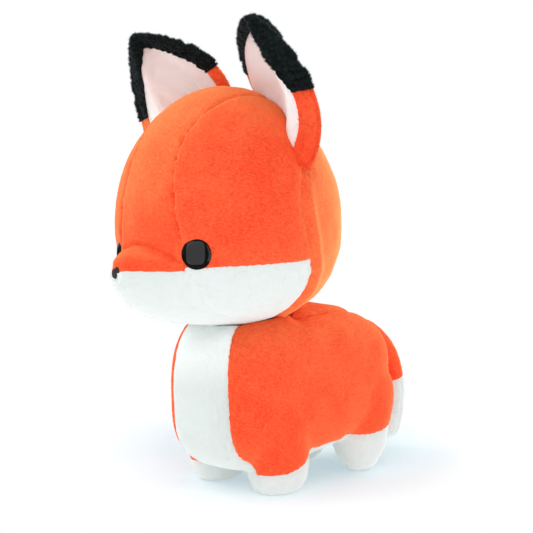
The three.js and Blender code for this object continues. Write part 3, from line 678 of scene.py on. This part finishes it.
def black_plastic(name, smooth, rough, specular):
    """Moulded black plastic whose polish varies a little."""
    material, tree, shader = new_material(name)
    scuffs = node(tree, "TexNoise", {"Vector": node(tree, "TexCoord", {}, "Object"), "Scale": 900.0})
    polish = node(tree, "MapRange", {"Value": scuffs, "To Min": smooth, "To Max": rough})
    feed(shader, {
        "Roughness": polish, "Base Color": (0.003, 0.003, 0.003, 1), "Specular IOR Level": specular})
    return material


gloss_plastic = black_plastic("black gloss plastic", 0.03, 0.10, 0.5)
dull_ring_plastic = black_plastic("dull black plastic of the painted dark ring", 0.12, 0.25, 0.04)


def turns(sides):
    """Angles of points evenly around a ring."""
    return 2 * math.pi * np.arange(sides) / sides


def ring_faces(rings, sides, ends):
    """Triangles between rings of points; ends is 1 with a fan over the last ring, 2 over both."""
    low = (np.arange(rings)[:, None] * sides + np.arange(sides)).ravel()
    after = (np.arange(rings)[:, None] * sides + (np.arange(sides) + 1) % sides).ravel()
    fan = np.arange(1, sides - 1)
    walls = [np.stack([low, after, after + sides], 1), np.stack([low, after + sides, low + sides], 1)]
    fans = [np.stack([0 * fan, fan + 1, fan], 1), np.stack([0 * fan, fan, fan + 1], 1) + rings * sides]
    return np.concatenate(walls + fans[2 - ends:])


def weld(points, faces, places=4):
    """Joins points that lie on each other and drops the triangles that vanish."""
    _, first, order = np.unique(
        np.round(points, places), axis=0, return_index=True, return_inverse=True)
    faces = order.reshape(-1)[faces]
    live = (faces != np.roll(faces, 1, axis=1)).all(1)
    return points[first], faces[live]


def dome(half_width, half_height, height, place, turn):
    """A flat dome with steep shoulders, facing turn radians left of straight ahead."""
    shares = 1 - np.linspace(0, 1, dome_rings + 1)[1:] ** 1.6
    bevel = np.clip((shares - eye_bevel + bevel_blend) / bevel_blend, 0, 1)
    slopes = np.tan(np.radians(dome_slope * shares + bevel_slope * bevel * bevel * (3 - 2 * bevel)))
    rise = np.cumsum(-np.diff(np.concatenate([[1.0], shares])) * slopes)
    radius = np.concatenate([[0.0, 0.96, 1.0, 1.0], shares])[:, None]
    foot = [-rim_height, -rim_height, -rim_height / 2, 0.0]
    out = np.concatenate([foot, height * rise / rise[-1]])[:, None]
    around = turns(dome_sides)
    across = radius * half_width * np.cos(around)
    points = np.stack([
        place[0] + across * math.cos(turn) + out * math.sin(turn),
        place[1] + across * math.sin(turn) - out * math.cos(turn),
        place[2] + radius * half_height * np.sin(around)], 2)
    return weld(points.reshape(-1, 3), ring_faces(len(radius) - 1, dome_sides, 0))


for half, side in halves.items():
    name = "eye_" + half
    eye_turn = eye_turns[side]
    outward_way = np.array([side * math.sin(eye_turn), -math.cos(eye_turn), 0])
    place = eye_spots[side] - outward_way * eye_seat
    points, faces = dome(eye_radius, eye_radius, eye_dome, place, side * eye_turn)
    piece = add_mesh(name + "_dome", points, faces, gloss_plastic)
    piece.data.materials.append(dull_ring_plastic)
    # Painted reflection: only an oval patch in the middle and a thin crescent towards one side are glossy,
    # so a window-like reflection shows there and the rest of the dome stays dark.
    middles = (points[faces].mean(1) - place) / eye_radius
    along = middles @ [math.cos(eye_turn), side * math.sin(eye_turn), 0] * side
    face = ((along + 0.08) / 0.59) ** 4 + ((middles[:, 2] - 0.07) / 0.73) ** 4 < 1
    edge = (np.hypot(along + 0.26, middles[:, 2]) > 1.0) & (np.hypot(along, middles[:, 2]) < 0.93)
    edge &= (along > 0) & (np.abs(middles[:, 2] - 0.06) < 0.50)
    piece.data.polygons.foreach_set("material_index", (~(face | edge)).astype(np.int32))
    settle(piece, "head", name)
points, faces = dome(nose_half_width, nose_half_height, nose_dome, nose_place, 0.0)
settle(add_mesh("nose_dome", points, faces, gloss_plastic), "head", "nose")

washer_plastic, tree, shader = new_material("washer plastic")
grain = node(tree, "TexNoise", {"Scale": 400.0})
feed(shader, {
    "Roughness": node(tree, "MapRange", {"Value": grain, "To Min": 0.4, "To Max": 0.6}),
    "Base Color": (0.72, 0.72, 0.69, 1)})
for name in ("eye_left_washer", "eye_right_washer", "nose_washer"):
    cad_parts[name].data.materials.clear()
    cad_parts[name].data.materials.append(washer_plastic)


# The ears: cupped triangles with an orange back and rim, a tip of curly black
# sherpa and a pale lining in front, sewn round the edge, turned, and sewn into
# the seam between the face and the back of the head.
ear_inner = np.array([[9, 18, 123], [4, 8, 147], [20, -12, 159], [46, -26, 159]], float)
ear_outer = np.array([[60, 4, 83], [80, 7, 112], [67, -12, 143], [46, -26, 159]], float)
ear_thickness, ear_full_width = 7.0, 40.0
ear_cup, ear_cup_share, ear_ridge, ear_ridge_share, ear_ridge_width = 6.0, 0.36, 5.0, 0.76, 0.14
ear_rims = {1: (4.0, 8.5, 4.5), -1: (8.0, 7.5, 0.0)}
ear_top_pull = {1: 0.3, -1: 0.5}
ear_lining_top = 0.82
ear_tip_lines = {1: (0.22, 0.47), -1: (0.33, 0.36)}
ear_rows, ear_columns = 150, 200
ear_sink, ear_cloth, ear_fill, ear_bend_length, lining_room = 2.0, 1.4, 0.4, 14, 0.72
ear_origin = np.array([0.0, -head_forward, head_bottom])
curl_size, curl_height, curl_loft = 2.4, 1.7, -0.2


def bezier(points, share):
    share = share[:, None]
    rest = 1 - share
    return (points[0] * rest ** 3 + 3 * points[1] * rest ** 2 * share
            + 3 * points[2] * rest * share ** 2 + points[3] * share ** 3)


def ear_place(side, across, along, depth):
    """A point of the ear from its own coordinates: across, along and towards its back."""
    mirror = np.array([side, 1, 1])
    inner = bezier(ear_inner * mirror, along) + ear_origin
    outer = bezier(ear_outer * mirror, along) + ear_origin
    width = np.minimum(1, lengths(outer - inner) / ear_full_width)
    back = np.cross((ear_outer[0] - ear_inner[0]) * mirror, (ear_inner[3] - ear_inner[0]) * mirror)
    back = back / np.linalg.norm(back)
    back = back if back[1] > 0 else -back
    cup = np.sin(math.pi * np.minimum(1, across / (2 * ear_cup_share))) ** 2 * ear_cup
    ridge = bell(across - ear_ridge_share, ear_ridge_width) * ear_ridge
    off = (cup - ridge) * width + depth
    return inner + (outer - inner) * across[:, None] + back * off[:, None]


def ear_width(side, along):
    ends = np.zeros_like(along)
    return lengths(
        ear_place(side, ends + 1, along, ends) - ear_place(side, ends, along, ends))


def outward(points, faces):
    """The triangles of a closed skin, turned over where they face inwards."""
    first, second, third = points[faces].transpose(1, 0, 2)
    return faces if (first * np.cross(second, third)).sum() > 0 else faces[:, ::-1]


def ear_thick(width):
    return ear_thickness * np.minimum(1, 0.5 + width / ear_full_width)


def ear_mesh(side):
    """The ear's skin: points, normals, across, along, front (1) to back (-1) and width."""
    along = np.repeat(np.linspace(0, 1, ear_rows + 1), ear_columns)
    around = np.tile(turns(ear_columns), ear_rows + 1)
    across = (1 - np.cos(around)) / 2
    width = ear_width(side, along)
    thick = ear_thick(width) * np.clip((1 - along) * 14, 0.25, 1) ** 0.5
    points = ear_place(side, across, np.minimum(along, 0.992), -np.sin(around) * thick / 2)
    faces = outward(points, ring_faces(ear_rows, ear_columns, 1))
    normals = point_normals(points, faces)
    return np.column_stack([points, normals, across, along, np.sin(around), width]), faces


def lining_field(sheet, side):
    """Below zero where the ear's front shows its pale lining."""
    across, along, front, width = sheet[:, 6:10].T
    inner_rim, outer_rim, outer_flare = ear_rims[side]
    outer_rim = outer_rim + outer_flare * np.clip(1 - along / 0.45, 0, 1)
    closing = np.sqrt(np.clip(1 - (along / ear_lining_top) ** 3.5, 0, 1))
    start = np.minimum(0.5, inner_rim / np.maximum(width, 1))
    stop = np.maximum(start, 1 - outer_rim / np.maximum(width, 1))
    middle = start + (stop - start) * (0.5 + (ear_top_pull[side] - 0.5) * (1 - closing))
    half = (stop - start) / 2 * closing
    edge = (np.abs(across - middle) - half) * width
    return np.where(front > 0, edge, 9.0)


def tip_field(sheet, side):
    """Below zero beyond the line where the black tip starts."""
    across, along = sheet[:, 6:8].T
    inner, outer = ear_tip_lines[side]
    return (inner + (outer - inner) * across - along) * 60


def head_field(points):
    """Below zero inside the head's stuffed form, about in millimetres."""
    rays = points - head_centre
    length = lengths(rays)
    surface = head_surface(rays / length[:, None]) - head_centre
    return length - lengths(surface)


def curls(points, size):
    """Rounded lumps, one to each cell: 1 on top of a curl and 0 between curls."""
    cell = points / size
    low = np.floor(cell).astype(int)
    near = np.full(len(points), 9.0)
    for step in np.ndindex(3, 3, 3):
        corner = low + np.array(step) - 1
        first, second, third = (corner % lattice_cells).T
        shift = 0.5 + 0.42 * np.stack([
            lattice[first, second, third], lattice[second, third, first], lattice[third, first, second]], 1)
        near = np.minimum(near, lengths(corner + shift - cell))
    return np.clip(1 - (near / 0.8) ** 2, 0, 1)


black_sherpa = plush_material(
    "black sherpa", (0.011, 0.016, 0.017, 1), (0.004, 0.006, 0.006, 1), (0.040, 0.052, 0.055, 1),
    0.5, 0.07, (0.6, 0.72, 0.75, 1), contrast=0.9, fibre_size=700.0, bump=0.6)
ear_lining_plush = plush_material(
    "ear lining plush", (0.93, 0.965, 0.955, 1), (0.93, 0.895, 0.875, 1), (0.95, 0.96, 0.95, 1),
    0.4, 0.08, (1, 0.95, 0.94, 1), contrast=0.6, fibre_size=300.0, bump=0.05)


def combed_up(points):
    return np.tile([0.0, -0.1, 1.0], (len(points), 1))


ear_nap = {
    "base": dict(density=2.2, length=1.6, girth=0.2, lift=0.5),
    "tip": dict(density=4.5, length=1.1, girth=0.3, lift=0.85),
    "lining": dict(density=1.4, length=1.4, girth=0.16, lift=0.2),
}
for name, side in halves.items():
    body = "ear_" + name
    sheet, faces = ear_mesh(side)
    sheet, faces = cut(sheet, faces, -(head_field(sheet[:, :3]) + ear_sink))
    middle, zero = np.array([0.5]), np.array([0.0])
    root = ear_place(side, middle, zero, zero)[0]
    up = ear_place(side, middle, np.array([0.45]), zero)[0] - root
    up /= np.linalg.norm(up)
    foot = sheet[np.argmin(((sheet[:, :3] - root) @ up) + 50 * np.abs(sheet[:, 6] - 0.5)), :3]
    bend = ("head", body, tuple(foot * metre), tuple((foot + up * ear_bend_length) * metre))
    lining, lining_faces = cut(sheet, faces, lining_field(sheet, side))
    rim, rim_faces = cut(sheet, faces, -lining_field(sheet, side))
    tip, tip_faces = cut(rim, rim_faces, tip_field(rim, side))
    base, base_faces = cut(rim, rim_faces, -tip_field(rim, side))
    edge_gap = np.minimum(base[:, 6], 1 - base[:, 6]) * base[:, 9] + np.abs(base[:, 8]) * 2
    base_relief = -draw_in(tip_field(base, side), 0.5, 0.8) - draw_in(edge_gap, 0.8, 0.7)
    base_relief = base_relief + 0.2 * mottle(base[:, :3], 1.6)
    tip_relief = curl_loft + curl_height * curls(tip[:, :3], curl_size)
    tip_relief = tip_relief - draw_in(tip_field(tip, side), 0.6, 0.6)
    across, along, front, width = lining[:, 6:10].T
    creases = np.stack([across * width / 5.0, along * 3.0 + side, along * 0], 1)
    sag = -0.7 - draw_in(lining_field(lining, side), 0.5, 1.0) + 0.7 * mottle(lining[:, :3], 11.0)
    sag = sag + 1.3 * mottle(creases, 1.0) * np.clip(1 - along / 0.7, 0, 1)
    room = lining_room * ear_thick(width) * np.abs(front)
    # Painted light: the right ear's orange is the one painted lighter, the left ear's the plain one.
    base_plush = {1: orange_plush, -1: painted_light_plush}[side]
    for layer, kind, sheet, faces, relief, seed, material, slot, bodies in (
        ("base", "plush", base, base_faces, base_relief, 300, base_plush, "orange_plush", bend),
        ("tip", "sherpa", tip, tip_faces, tip_relief, 310, black_sherpa, "black_sherpa", body),
        ("lining", "plush", lining, lining_faces, np.maximum(sag, np.minimum(2.6 - room, 0.3)),
         320, ear_lining_plush, "ear_lining", bend),
    ):
        sew("ear_" + layer + "_" + name, kind, sheet, faces, -relief, ear_nap[layer], seed + side,
            material, bodies, ear_cloth, combed_up)


# The torso and legs: one stuffed form of orange side and back panels, a white
# chest and belly, and white socks. The legs are short stubs, cut in one with
# the sides, and the head's weight presses a dish into the top.
torso_front, torso_back = 57.0, 86.0
torso_half_widths = (38.0, 43.0, 38.5)
torso_tops, torso_bottoms = (104.0, 108.0, 92.0), (4.0, 16.0, 22.0)
torso_end_power, torso_section_power = 3.2, 3.1
legs = {
    "front": dict(spread=23.5, place=-15.2, top=60.0, wide=17.0, deep=20.0, foot=15.5, sole=18.5, power=4.5),
    "rear": dict(spread=22.0, place=57.5, top=62.0, wide=21.0, deep=28.5, foot=13.0, sole=15.0, power=3.0),
}
chest_shift, rear_corner = 1.2, 19.4
chest_seam, back_seam, belly_seam, foot_seam = (1.2, 0.8), (2.0, 0.9), (0.8, 0.8), (0.9, 0.7)
rump_seam, rump_start, corner_start, hollow_depth, hollow_size = (0.7, 0.9), 60, 58, 2.2, [7, 5, 7]
neck_hollow = np.array([27.0, -6.0, 97.0])
voxel, round_off = 1.3, 14
seat_gap, leg_sunk, dish_floor, core_drop = 0.3, 0.3, 70, 3
chest_end, back_low, belly_high = -27, 76, 40
front_foot_end, front_foot_gap, rear_foot_start, rear_foot_gap = 7, 8, 34, 9


def signed_power(value, power):
    return np.sign(value) * np.abs(value) ** power


def torso_run(sizes, share):
    front, middle, back = sizes
    return front * (1 - share) ** 2 + 2 * middle * share * (1 - share) + back * share ** 2


def round_grid(rings, sides, tip):
    """Angles from end to end and around, for the points of a closed form."""
    along = math.pi * np.clip(np.arange(rings + 1), tip, rings - tip) / rings
    return np.repeat(along, sides), np.tile(turns(sides), rings + 1)


def torso_form(inset=0.0, sides=96, rings=80):
    along, around = round_grid(rings, sides, 0.1)
    place = -signed_power(np.cos(along), 2 / torso_end_power)
    spread = signed_power(np.sin(along), 2 / torso_end_power)
    share = (place + 1) / 2
    top, bottom = torso_run(torso_tops, share) - inset, torso_run(torso_bottoms, share) + inset
    half_width = (torso_run(torso_half_widths, share) - inset) * spread
    across = half_width * signed_power(np.sin(around), 2 / torso_section_power)
    rise = (top - bottom) / 2 * spread * signed_power(np.cos(around), 2 / torso_section_power)
    depth = ((torso_front + torso_back) / 2 - inset) * place + (torso_back - torso_front) / 2
    return np.stack([across, depth, (top + bottom) / 2 + rise], 1), ring_faces(rings, sides, 2)


def leg_form(leg, side, inset=0.0, sides=64, rings=48):
    down, around = round_grid(rings, sides, 0.12)
    share = (1 - signed_power(np.cos(down), 2 / leg["power"])) / 2
    spread = signed_power(np.sin(down), 2 / leg["power"])
    width = (leg["wide"] + (leg["foot"] - leg["wide"]) * share - inset) * spread
    depth = (leg["deep"] + (leg["sole"] - leg["deep"]) * share - inset) * spread
    low, high = inset - leg_sunk, leg["top"] - inset
    return np.stack([
        side * leg["spread"] + width * np.sin(around), leg["place"] + depth * np.cos(around),
        high + (low - high) * share], 1), ring_faces(rings, sides, 2)


def fused(forms):
    """Closed forms melted into one skin of even triangles, with soft inner corners."""
    sizes = np.cumsum([0] + [len(points) for points, _ in forms])
    points = np.concatenate([points for points, _ in forms])
    faces = np.concatenate([part + size for (_, part), size in zip(forms, sizes)])
    mesh = bpy.data.meshes.new("form")
    mesh.from_pydata(points.tolist(), [], faces.tolist())
    form = new_object("form", mesh)
    remesh = form.modifiers.new("even", "REMESH")
    remesh.mode = "VOXEL"
    remesh.voxel_size = voxel
    soften = form.modifiers.new("soften", "SMOOTH")
    soften.factor = 0.5
    soften.iterations = round_off
    form.modifiers.new("three-sided", "TRIANGULATE")
    form.update_tag()
    shaped = form.evaluated_get(bpy.context.evaluated_depsgraph_get()).to_mesh()
    skin = np.array([corner.co[:] for corner in shaped.vertices])
    skin_faces = np.array([face.vertices[:] for face in shaped.polygons])
    bpy.data.objects.remove(form)
    return skin, skin_faces


def press_dish(points):
    """Pushes cloth that the head rests on down to just below the head."""
    across = np.abs((points[:, 0] - head_centre[0]) / head_half_width)
    depth = points[:, 1] - head_centre[1]
    reach = np.where(depth < 0, head_front_depth, head_back_depth)
    plan = across ** plan_power + np.abs(depth / reach) ** plan_power
    share = np.clip(1 - plan ** (chin_power / plan_power), 0, 1)
    under = head_centre[2] - head_chin * share ** (1 / chin_power)
    low = np.minimum(points[:, 2], under - seat_gap)
    pressed = points.copy()
    pressed[:, 2] = np.where((plan < 1) & (points[:, 2] > dish_floor), low, points[:, 2])
    return pressed


chest_heights = torso_tops[0] * np.array([0.15, 0.3, 0.43, 0.61, 0.81, 0.885, 1.1])
chest_left = smooth_line(
    chest_heights, torso_half_widths[0] * np.array([0.58, 0.57, 0.57, 0.56, 0.51, 0.44, 0.4]))
chest_right = smooth_line(
    chest_heights, torso_half_widths[0] * np.array([0.58, 0.57, 0.57, 0.575, 0.58, 0.57, 0.55]))
back_places = np.array([0.26, 0.31, 0.34, 0.36, 0.45, 0.53, 0.68, 0.82, 0.93, 1.02])
back_width = smooth_line(
    back_places * (torso_front + torso_back) - torso_front,
    torso_half_widths[1] * np.array([0, 0.4, 0.66, 0.7, 0.68, 0.65, 0.51, 0.33, 0.16, 0.14]))
belly_width = smooth_line([-57, -10, 2, 30, 40, 90], [20.2, 20.2, 31, 31, 19.5, 19.5])
front_sock = smooth_line([-40, -33, -22, -10, 1, 6], [12, 12, 13, 16, 21, 22])
rear_sock = smooth_line([30, 45, 60, 75, 90], [24, 24, 25, 26.5, 27])


def chest_field(points):
    across = points[:, 0] - chest_shift
    sides = np.maximum(across - chest_left(points[:, 2]), -across - chest_right(points[:, 2]))
    return np.maximum(sides, points[:, 1] - chest_end)


def back_field(points):
    return np.maximum(np.abs(points[:, 0]) - back_width(points[:, 1]), back_low - points[:, 2])


def belly_field(points):
    return np.maximum(np.abs(points[:, 0]) - belly_width(points[:, 1]), points[:, 2] - belly_high)


def foot_field(points, sock, ahead_or_behind, gap):
    across, depth, height = points.T
    return np.maximum.reduce([height - sock(depth), ahead_or_behind, gap - np.abs(across)])


def front_foot_field(points):
    return foot_field(points, front_sock, points[:, 1] - front_foot_end, front_foot_gap)


def rear_foot_field(points):
    return foot_field(points, rear_sock, rear_foot_start - points[:, 1], rear_foot_gap)


def corner_field(points):
    return np.abs(points[:, 0]) - rear_corner


def torso_relief(points, normals):
    """How far each point of the torso's cloth lies in from the stuffed form."""
    chest, back, belly, front, rear, middle, corner = (
        seam_distance(field, points, normals)
        for field in (chest_field, back_field, belly_field, front_foot_field, rear_foot_field,
                      middle_field, corner_field))
    depth = draw_in(chest, *chest_seam) * within(-front) * pucker(points)
    depth += draw_in(back, *back_seam) * within(-chest) * pucker(points)
    depth += draw_in(belly, *belly_seam) * within(-front) * within(-rear) * within(-chest)
    depth += draw_in(front, *foot_seam) + draw_in(rear, *foot_seam)
    rump = within(rump_start - points[:, 1]) * within(belly_high - points[:, 2]) * within(-back)
    depth += draw_in(middle, *rump_seam) * rump
    depth += draw_in(corner, *foot_seam) * within(rear) * within(points[:, 1] - corner_start)
    mirrored = np.stack([np.abs(points[:, 0]), points[:, 1], points[:, 2]], 1)
    depth += hollow_depth * bell(lengths((mirrored - neck_hollow) / hollow_size), 1)
    return depth - grain_depth * mottle(points, grain_size) - 0.5 * mottle(points, 12.0)


# Painted light: the body's orange turns lighter towards its top, and the chest's white is darker low down
# and lighter under the chin, where the head shades it.
body_plush = plush_material(
    "orange plush of the body, painted lighter on top", painted_top_light=(0.070, 0.101, painted_lit_orange, painted_lit_deep_orange), **orange_look)
chest_look = dict(white_look, colour=(0.64, 0.685, 0.665, 1), deep=(0.625, 0.67, 0.65, 1))
chest_plush = plush_material(
    "white plush of the chest, painted lighter under the chin",
    painted_top_light=(0.056, 0.090, (0.93, 0.97, 0.95, 1), (0.91, 0.95, 0.93, 1)), **chest_look)
torso_forms = [torso_form()] + [leg_form(leg, side) for leg in legs.values() for side in (1, -1)]
torso_points, torso_faces = fused(torso_forms)
torso_points = press_dish(torso_points)
torso_skin = np.hstack([torso_points, point_normals(torso_points, torso_faces)])
rest = [(front_foot_field, -1), (rear_foot_field, -1), (chest_field, -1)]
flank = rest + [(belly_field, -1), (back_field, -1)]
torso_panels = (
    ("chest_panel", chest_plush, [(front_foot_field, -1), (chest_field, 1)]),
    ("belly_panel", white_plush, rest + [(belly_field, 1)]),
    ("back_panel", body_plush, rest + [(back_field, 1)]),
    ("side_panel_left", body_plush, flank + [left_half]),
    ("side_panel_right", body_plush, flank + [right_half]),
    ("foot_front_left", white_plush, [(front_foot_field, 1), left_half]),
    ("foot_front_right", white_plush, [(front_foot_field, 1), right_half]),
    ("foot_rear_left", white_plush, [(rear_foot_field, 1), left_half]),
    ("foot_rear_right", white_plush, [(rear_foot_field, 1), right_half]),
)
sew_panels(torso_panels, torso_skin, torso_faces, torso_relief, "torso", 200)
points, faces = torso_form(core_inset, 48, 40)
add_wadding("torso_stuffing", press_dish(points) - [0, 0, core_drop], faces, "torso")
for end, leg in legs.items():
    for name, side in halves.items():
        points, faces = leg_form(leg, side, core_inset, 32, 24)
        add_wadding("leg_stuffing_" + end + "_" + name, points, faces, "torso", 0.5)


# The tail: a flat stuffed tube with a seam along its edges, orange above and white
# at its blunt tip. It is sewn into the end of the back and hangs against the rump.
tail_line = np.array([[74, 83], [85, 79], [96, 66], [100, 47], [99, 28], [98, 9]], float)
tail_radii = np.array([5, 8, 10.5, 12.5, 12.5, 10], float)
tail_width_share = 1.7
tail_rings, tail_sides = 90, 96
tail_tip_front, tail_tip_back, tail_depth = 47.0, 53.0, 26.0
tail_cloth, tail_fill = 1.6, 0.6
tail_bend = ("torso", "tail", (0, 0.076, 0.090), (0, 0.090, 0.076))


def tail_form(inset=0.0, rings=tail_rings, sides=tail_sides):
    """The tail's skin, and how far each of its points lies from its flat middle."""
    share = np.linspace(0, 1, rings + 1)
    spot = share * (len(tail_line) - 1)
    low = np.minimum(spot.astype(int), len(tail_line) - 2)
    part = (spot - low)[:, None]
    longer = np.vstack([2 * tail_line[0] - tail_line[1], tail_line, 2 * tail_line[-1] - tail_line[-2]])
    before, start, stop, after = (longer[low + step] for step in range(4))
    bow = 2 * before - 5 * start + 4 * stop - after
    centre = 0.5 * (2 * start + (stop - before) * part + bow * part ** 2
                    + (3 * start - before - 3 * stop + after) * part ** 3)
    ahead = unit(np.gradient(centre, axis=0))
    radius = np.interp(spot, np.arange(len(tail_radii)), tail_radii) - inset
    ends = np.minimum(share, 1 - share) * rings / 7
    radius = radius * np.sqrt(np.clip(1 - (1 - np.minimum(ends, 1)) ** 2, 0.002, 1))
    around = turns(sides)
    out = np.stack([ahead[:, 1], -ahead[:, 0]], 1)
    points = np.empty((rings + 1, sides, 3))
    points[:, :, 0] = radius[:, None] * tail_width_share * np.sin(around)
    points[:, :, 1] = centre[:, :1] + out[:, :1] * radius[:, None] * np.cos(around)
    points[:, :, 2] = centre[:, 1:] + out[:, 1:] * radius[:, None] * np.cos(around)
    points = points.reshape(-1, 3)
    flat = np.abs(np.cos(around))[None, :] * radius[:, None]
    return points, outward(points, ring_faces(rings, sides, 2)), flat.ravel()


def tail_tip_field(points):
    slope = (tail_tip_back - tail_tip_front) / tail_depth
    return points[:, 2] - tail_tip_front - slope * (points[:, 1] - torso_back)


tail_points, tail_faces, tail_flat = tail_form()
tail_sheet = np.column_stack([tail_points, point_normals(tail_points, tail_faces), tail_flat])
for name, material, slot, sign, seed, bodies in (
    ("tail_base_panel", orange_plush, "orange_plush", -1, 401, tail_bend),
    ("tail_tip_panel", white_plush, "white_plush", 1, 402, "tail"),
):
    sheet, faces = cut(tail_sheet, tail_faces, sign * tail_tip_field(tail_sheet[:, :3]))
    line = seam_distance(tail_tip_field, sheet[:, :3], unit(sheet[:, 3:6]))
    depth = draw_in(line, 0.5, 0.9) + draw_in(sheet[:, 6], 0.7, 0.8) - 0.2 * mottle(sheet[:, :3], 1.6)
    sew(name, "plush", sheet, faces, depth, nap[slot], seed, material,
        bodies, tail_cloth)
points, faces, _ = tail_form(core_inset, 40, 32)
add_wadding("tail_stuffing", points, faces, "tail", 0.5)


# The neck: the ball of filling in the opening where head and torso are sewn
# together, on which the head turns and nods.
neck_radius = 14.0
neck_centre = np.array([0.0, -32.0, 93.0])
add_wadding("neck_stuffing", core_directions * neck_radius + neck_centre, core_faces, "neck", 0.3)
